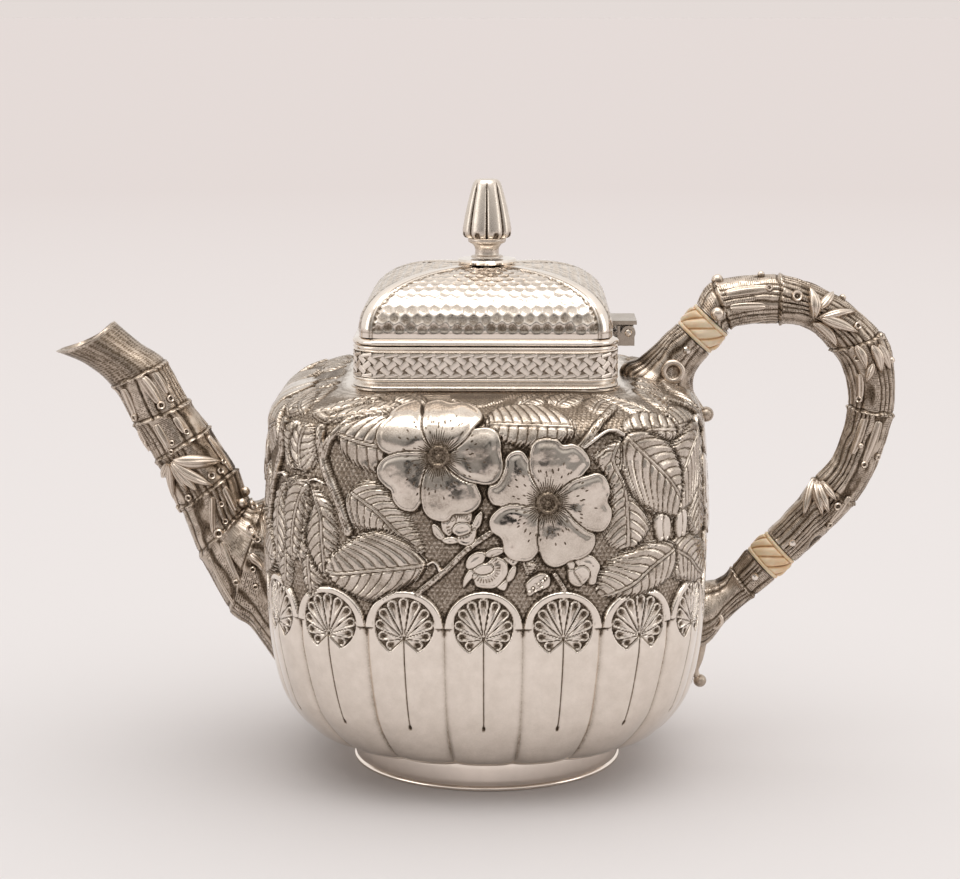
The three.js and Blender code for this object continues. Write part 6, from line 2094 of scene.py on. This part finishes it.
def ringShape(loop, sides, stains=0.12):
    # a closed ring turned about the body's own axis, from [radius, height] points
    loop = np.asarray(loop, float)
    angle = ringAngles(sides)
    return loopedGrid(roundGrid(loop[:, :1], angle, loop[:, 1:]), stains)


footPiece = shapesPiece("foot_polished_ring", [ringShape(foot, 240)], 50)
finishPiece(footPiece, footLook, "pot", "polished_silver", "foot_ring")
base = turnedShape([(0.01, 8.45), (37.2, 8.45), (37.2, 9.6), (0.01, 9.6)], 120, (axisX, 0, 0), (0, 0, 1), 0.3)
mouth = squareSweep([(33.4, 110.8), (36.6, 110.8), (36.6, 111.9), (36.0, 112.0), (33.4, 112.0)], 0.2)
finishPiece(shapesPiece("body_base_and_mouth", [base, mouth], 50), bodyLook, "pot", "silver", "body_shell")

print("stage: collar, foot and base")


# the rest of the CAD nodes keep their shapes and get their finishes
mirrorNodes = ["foot_ring", "collar_rim", "lid_rim", "finial_disc", "hinge_pin"]
mirrorNodes += [f"{joint}_{end}_pin" for joint in ("upper", "lower") for end in ("grip", "socket")]
stemNodes = ["spout", "handle_grip", "upper_socket", "lower_socket"]
for name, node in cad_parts.items():
    finish = satinLook
    if name in mirrorNodes:
        finish = mirrorLook
    elif "insulator" in name:
        finish = ivory
    elif name in stemNodes or "spray" in name:
        finish = stemLook
    elif name.startswith("hinge"):
        finish = hingeLook
    node.data.materials.clear()
    node.data.materials.append(finish)


# floor, light and camera
studio = {
    "floorHalf": 40.0,
    # painted light: the floor's colour near the pot and far off
    "litFloorNear": (0.82, 0.80, 0.81),
    "dimFloorFar": (0.735, 0.69, 0.69),
    "backdrop": (0.774, 0.708, 0.68),
    "warmth": (1.0, 0.965, 0.93),
    "around": 0.92,
    "front": 0.35,
    "above": 1.3,
    "slot": 0.03,
    "slotHalf": 0.09,
    "floorAbove": 2.0,
    "floorAround": 0.02,
    "fromRight": 0.13,
    "aim": (0, 0, 0.06),
    "lightColour": (1.0, 0.985, 0.96),
    # place, size and power of each softbox
    "softboxes": {
        "softboxAbove": ((-0.05, -0.12, 0.95), (0.9, 0.6), 4.4),
        "softboxLeft": ((-1.1, -0.5, 0.55), (0.7, 0.9), 2.2),
        "softboxRight": ((1.2, -0.3, 0.5), (0.5, 0.9), 1.54),
    },
}


def makeFloor():
    half = studio["floorHalf"]
    mesh = bpy.data.meshes.new("floor")
    corners = [(x * half, y * half, 0) for x, y in ((-1, -1), (1, -1), (1, 1), (-1, 1))]
    mesh.from_pydata(corners, [], [(0, 1, 2, 3)])
    floor = bpy.data.objects.new("floor", mesh)
    scene.collection.objects.link(floor)
    look = Look("paleFloor")
    # painted falloff of light: the floor is painted lighter near the pot and darker and warmer further off
    place = look.add("ShaderNodeTexCoord").outputs["Object"]
    away = look.add("ShaderNodeVectorMath", {0: place}, operation="LENGTH")
    share = look.range(away.outputs["Value"], 0.2, 2.2, 0, 1)
    colours = look.mixed(share, studio["litFloorNear"], studio["dimFloorFar"])
    look.give({"Base Color": colours, "Roughness": 0.9, "Specular IOR Level": 0.0})
    mesh.materials.append(look.material)


def makeWorld():
    # the eye sees a plain backdrop; silver sees a bright room that is darker towards the camera
    world = bpy.data.worlds.new("paleStudio")
    world.use_nodes = True
    wiring = Wiring(world.node_tree)
    way = wiring.add("ShaderNodeTexCoord").outputs["Generated"]
    x, y, z = wiring.add("ShaderNodeSeparateXYZ", {0: way}).outputs
    front = wiring.range(y, -0.1, -0.85, 0, 1)
    low = wiring.range(z, 0.62, 0.2, 0, 1)
    dim = wiring.times(wiring.times(front, low), studio["front"] - studio["around"])
    up = wiring.range(z, 0.45, 0.95, 0, studio["above"] - studio["around"])
    level = wiring.plus(wiring.plus(dim, studio["around"]), up)
    # a narrow dark slot straight ahead of the pot, where the camera stands
    offSlot = wiring.range(wiring.maths("ABSOLUTE", x), studio["slotHalf"] - 0.03, studio["slotHalf"], 0, 1)
    behind = wiring.maths("GREATER_THAN", y, 0)
    high = wiring.range(z, 0.16, 0.24, 0, 1)
    clear = wiring.most(wiring.most(offSlot, behind), high)
    level = wiring.times(level, wiring.range(clear, 0, 1, studio["slot"], 1))
    # the floor is lit mostly from straight above, a little from the right
    height = wiring.plus(z, wiring.times(x, studio["fromRight"]))
    fromAbove = wiring.times(wiring.times(height, height), studio["floorAbove"])
    fromAbove = wiring.plus(fromAbove, studio["floorAround"])
    ray = wiring.add("ShaderNodeLightPath").outputs
    level = wiring.blend(ray["Is Diffuse Ray"], level, fromAbove)
    seen = wiring.mixed(ray["Is Camera Ray"], studio["warmth"], studio["backdrop"])
    sky = wiring.nodes["Background"]
    wiring.feed(sky.inputs["Color"], seen)
    wiring.feed(sky.inputs["Strength"], wiring.blend(ray["Is Camera Ray"], level, 1.0))
    scene.world = world


def softLight(name, place, size, power):
    # a softbox that only shows in the silver, so the floor stays evenly lit
    light = bpy.data.lights.new(name, "AREA")
    light.shape = "RECTANGLE"
    light.size, light.size_y = size
    light.energy = power
    light.color = studio["lightColour"]
    lamp = bpy.data.objects.new(name, light)
    lamp.location = place
    lamp.rotation_euler = (Vector(studio["aim"]) - Vector(place)).to_track_quat("-Z", "Y").to_euler()
    lamp.visible_diffuse = False
    scene.collection.objects.link(lamp)


makeFloor()
makeWorld()
for name, (place, size, power) in studio["softboxes"].items():
    softLight(name, place, size, power)
scene.view_settings.view_transform = "Standard"

view = {"lens": 91.5, "sensor": 36, "place": (0.0130, -0.6829, 0.2134), "tilt": 79.9, "turned": 0.962}
lens = bpy.data.cameras.new("photoCamera")
lens.lens = view["lens"]
lens.sensor_width = view["sensor"]
camera = bpy.data.objects.new("photoCamera", lens)
camera.location = view["place"]
camera.rotation_euler = (math.radians(view["tilt"]), 0, math.radians(view["turned"]))
scene.collection.objects.link(camera)
scene.camera = camera

print("stage: light and camera")
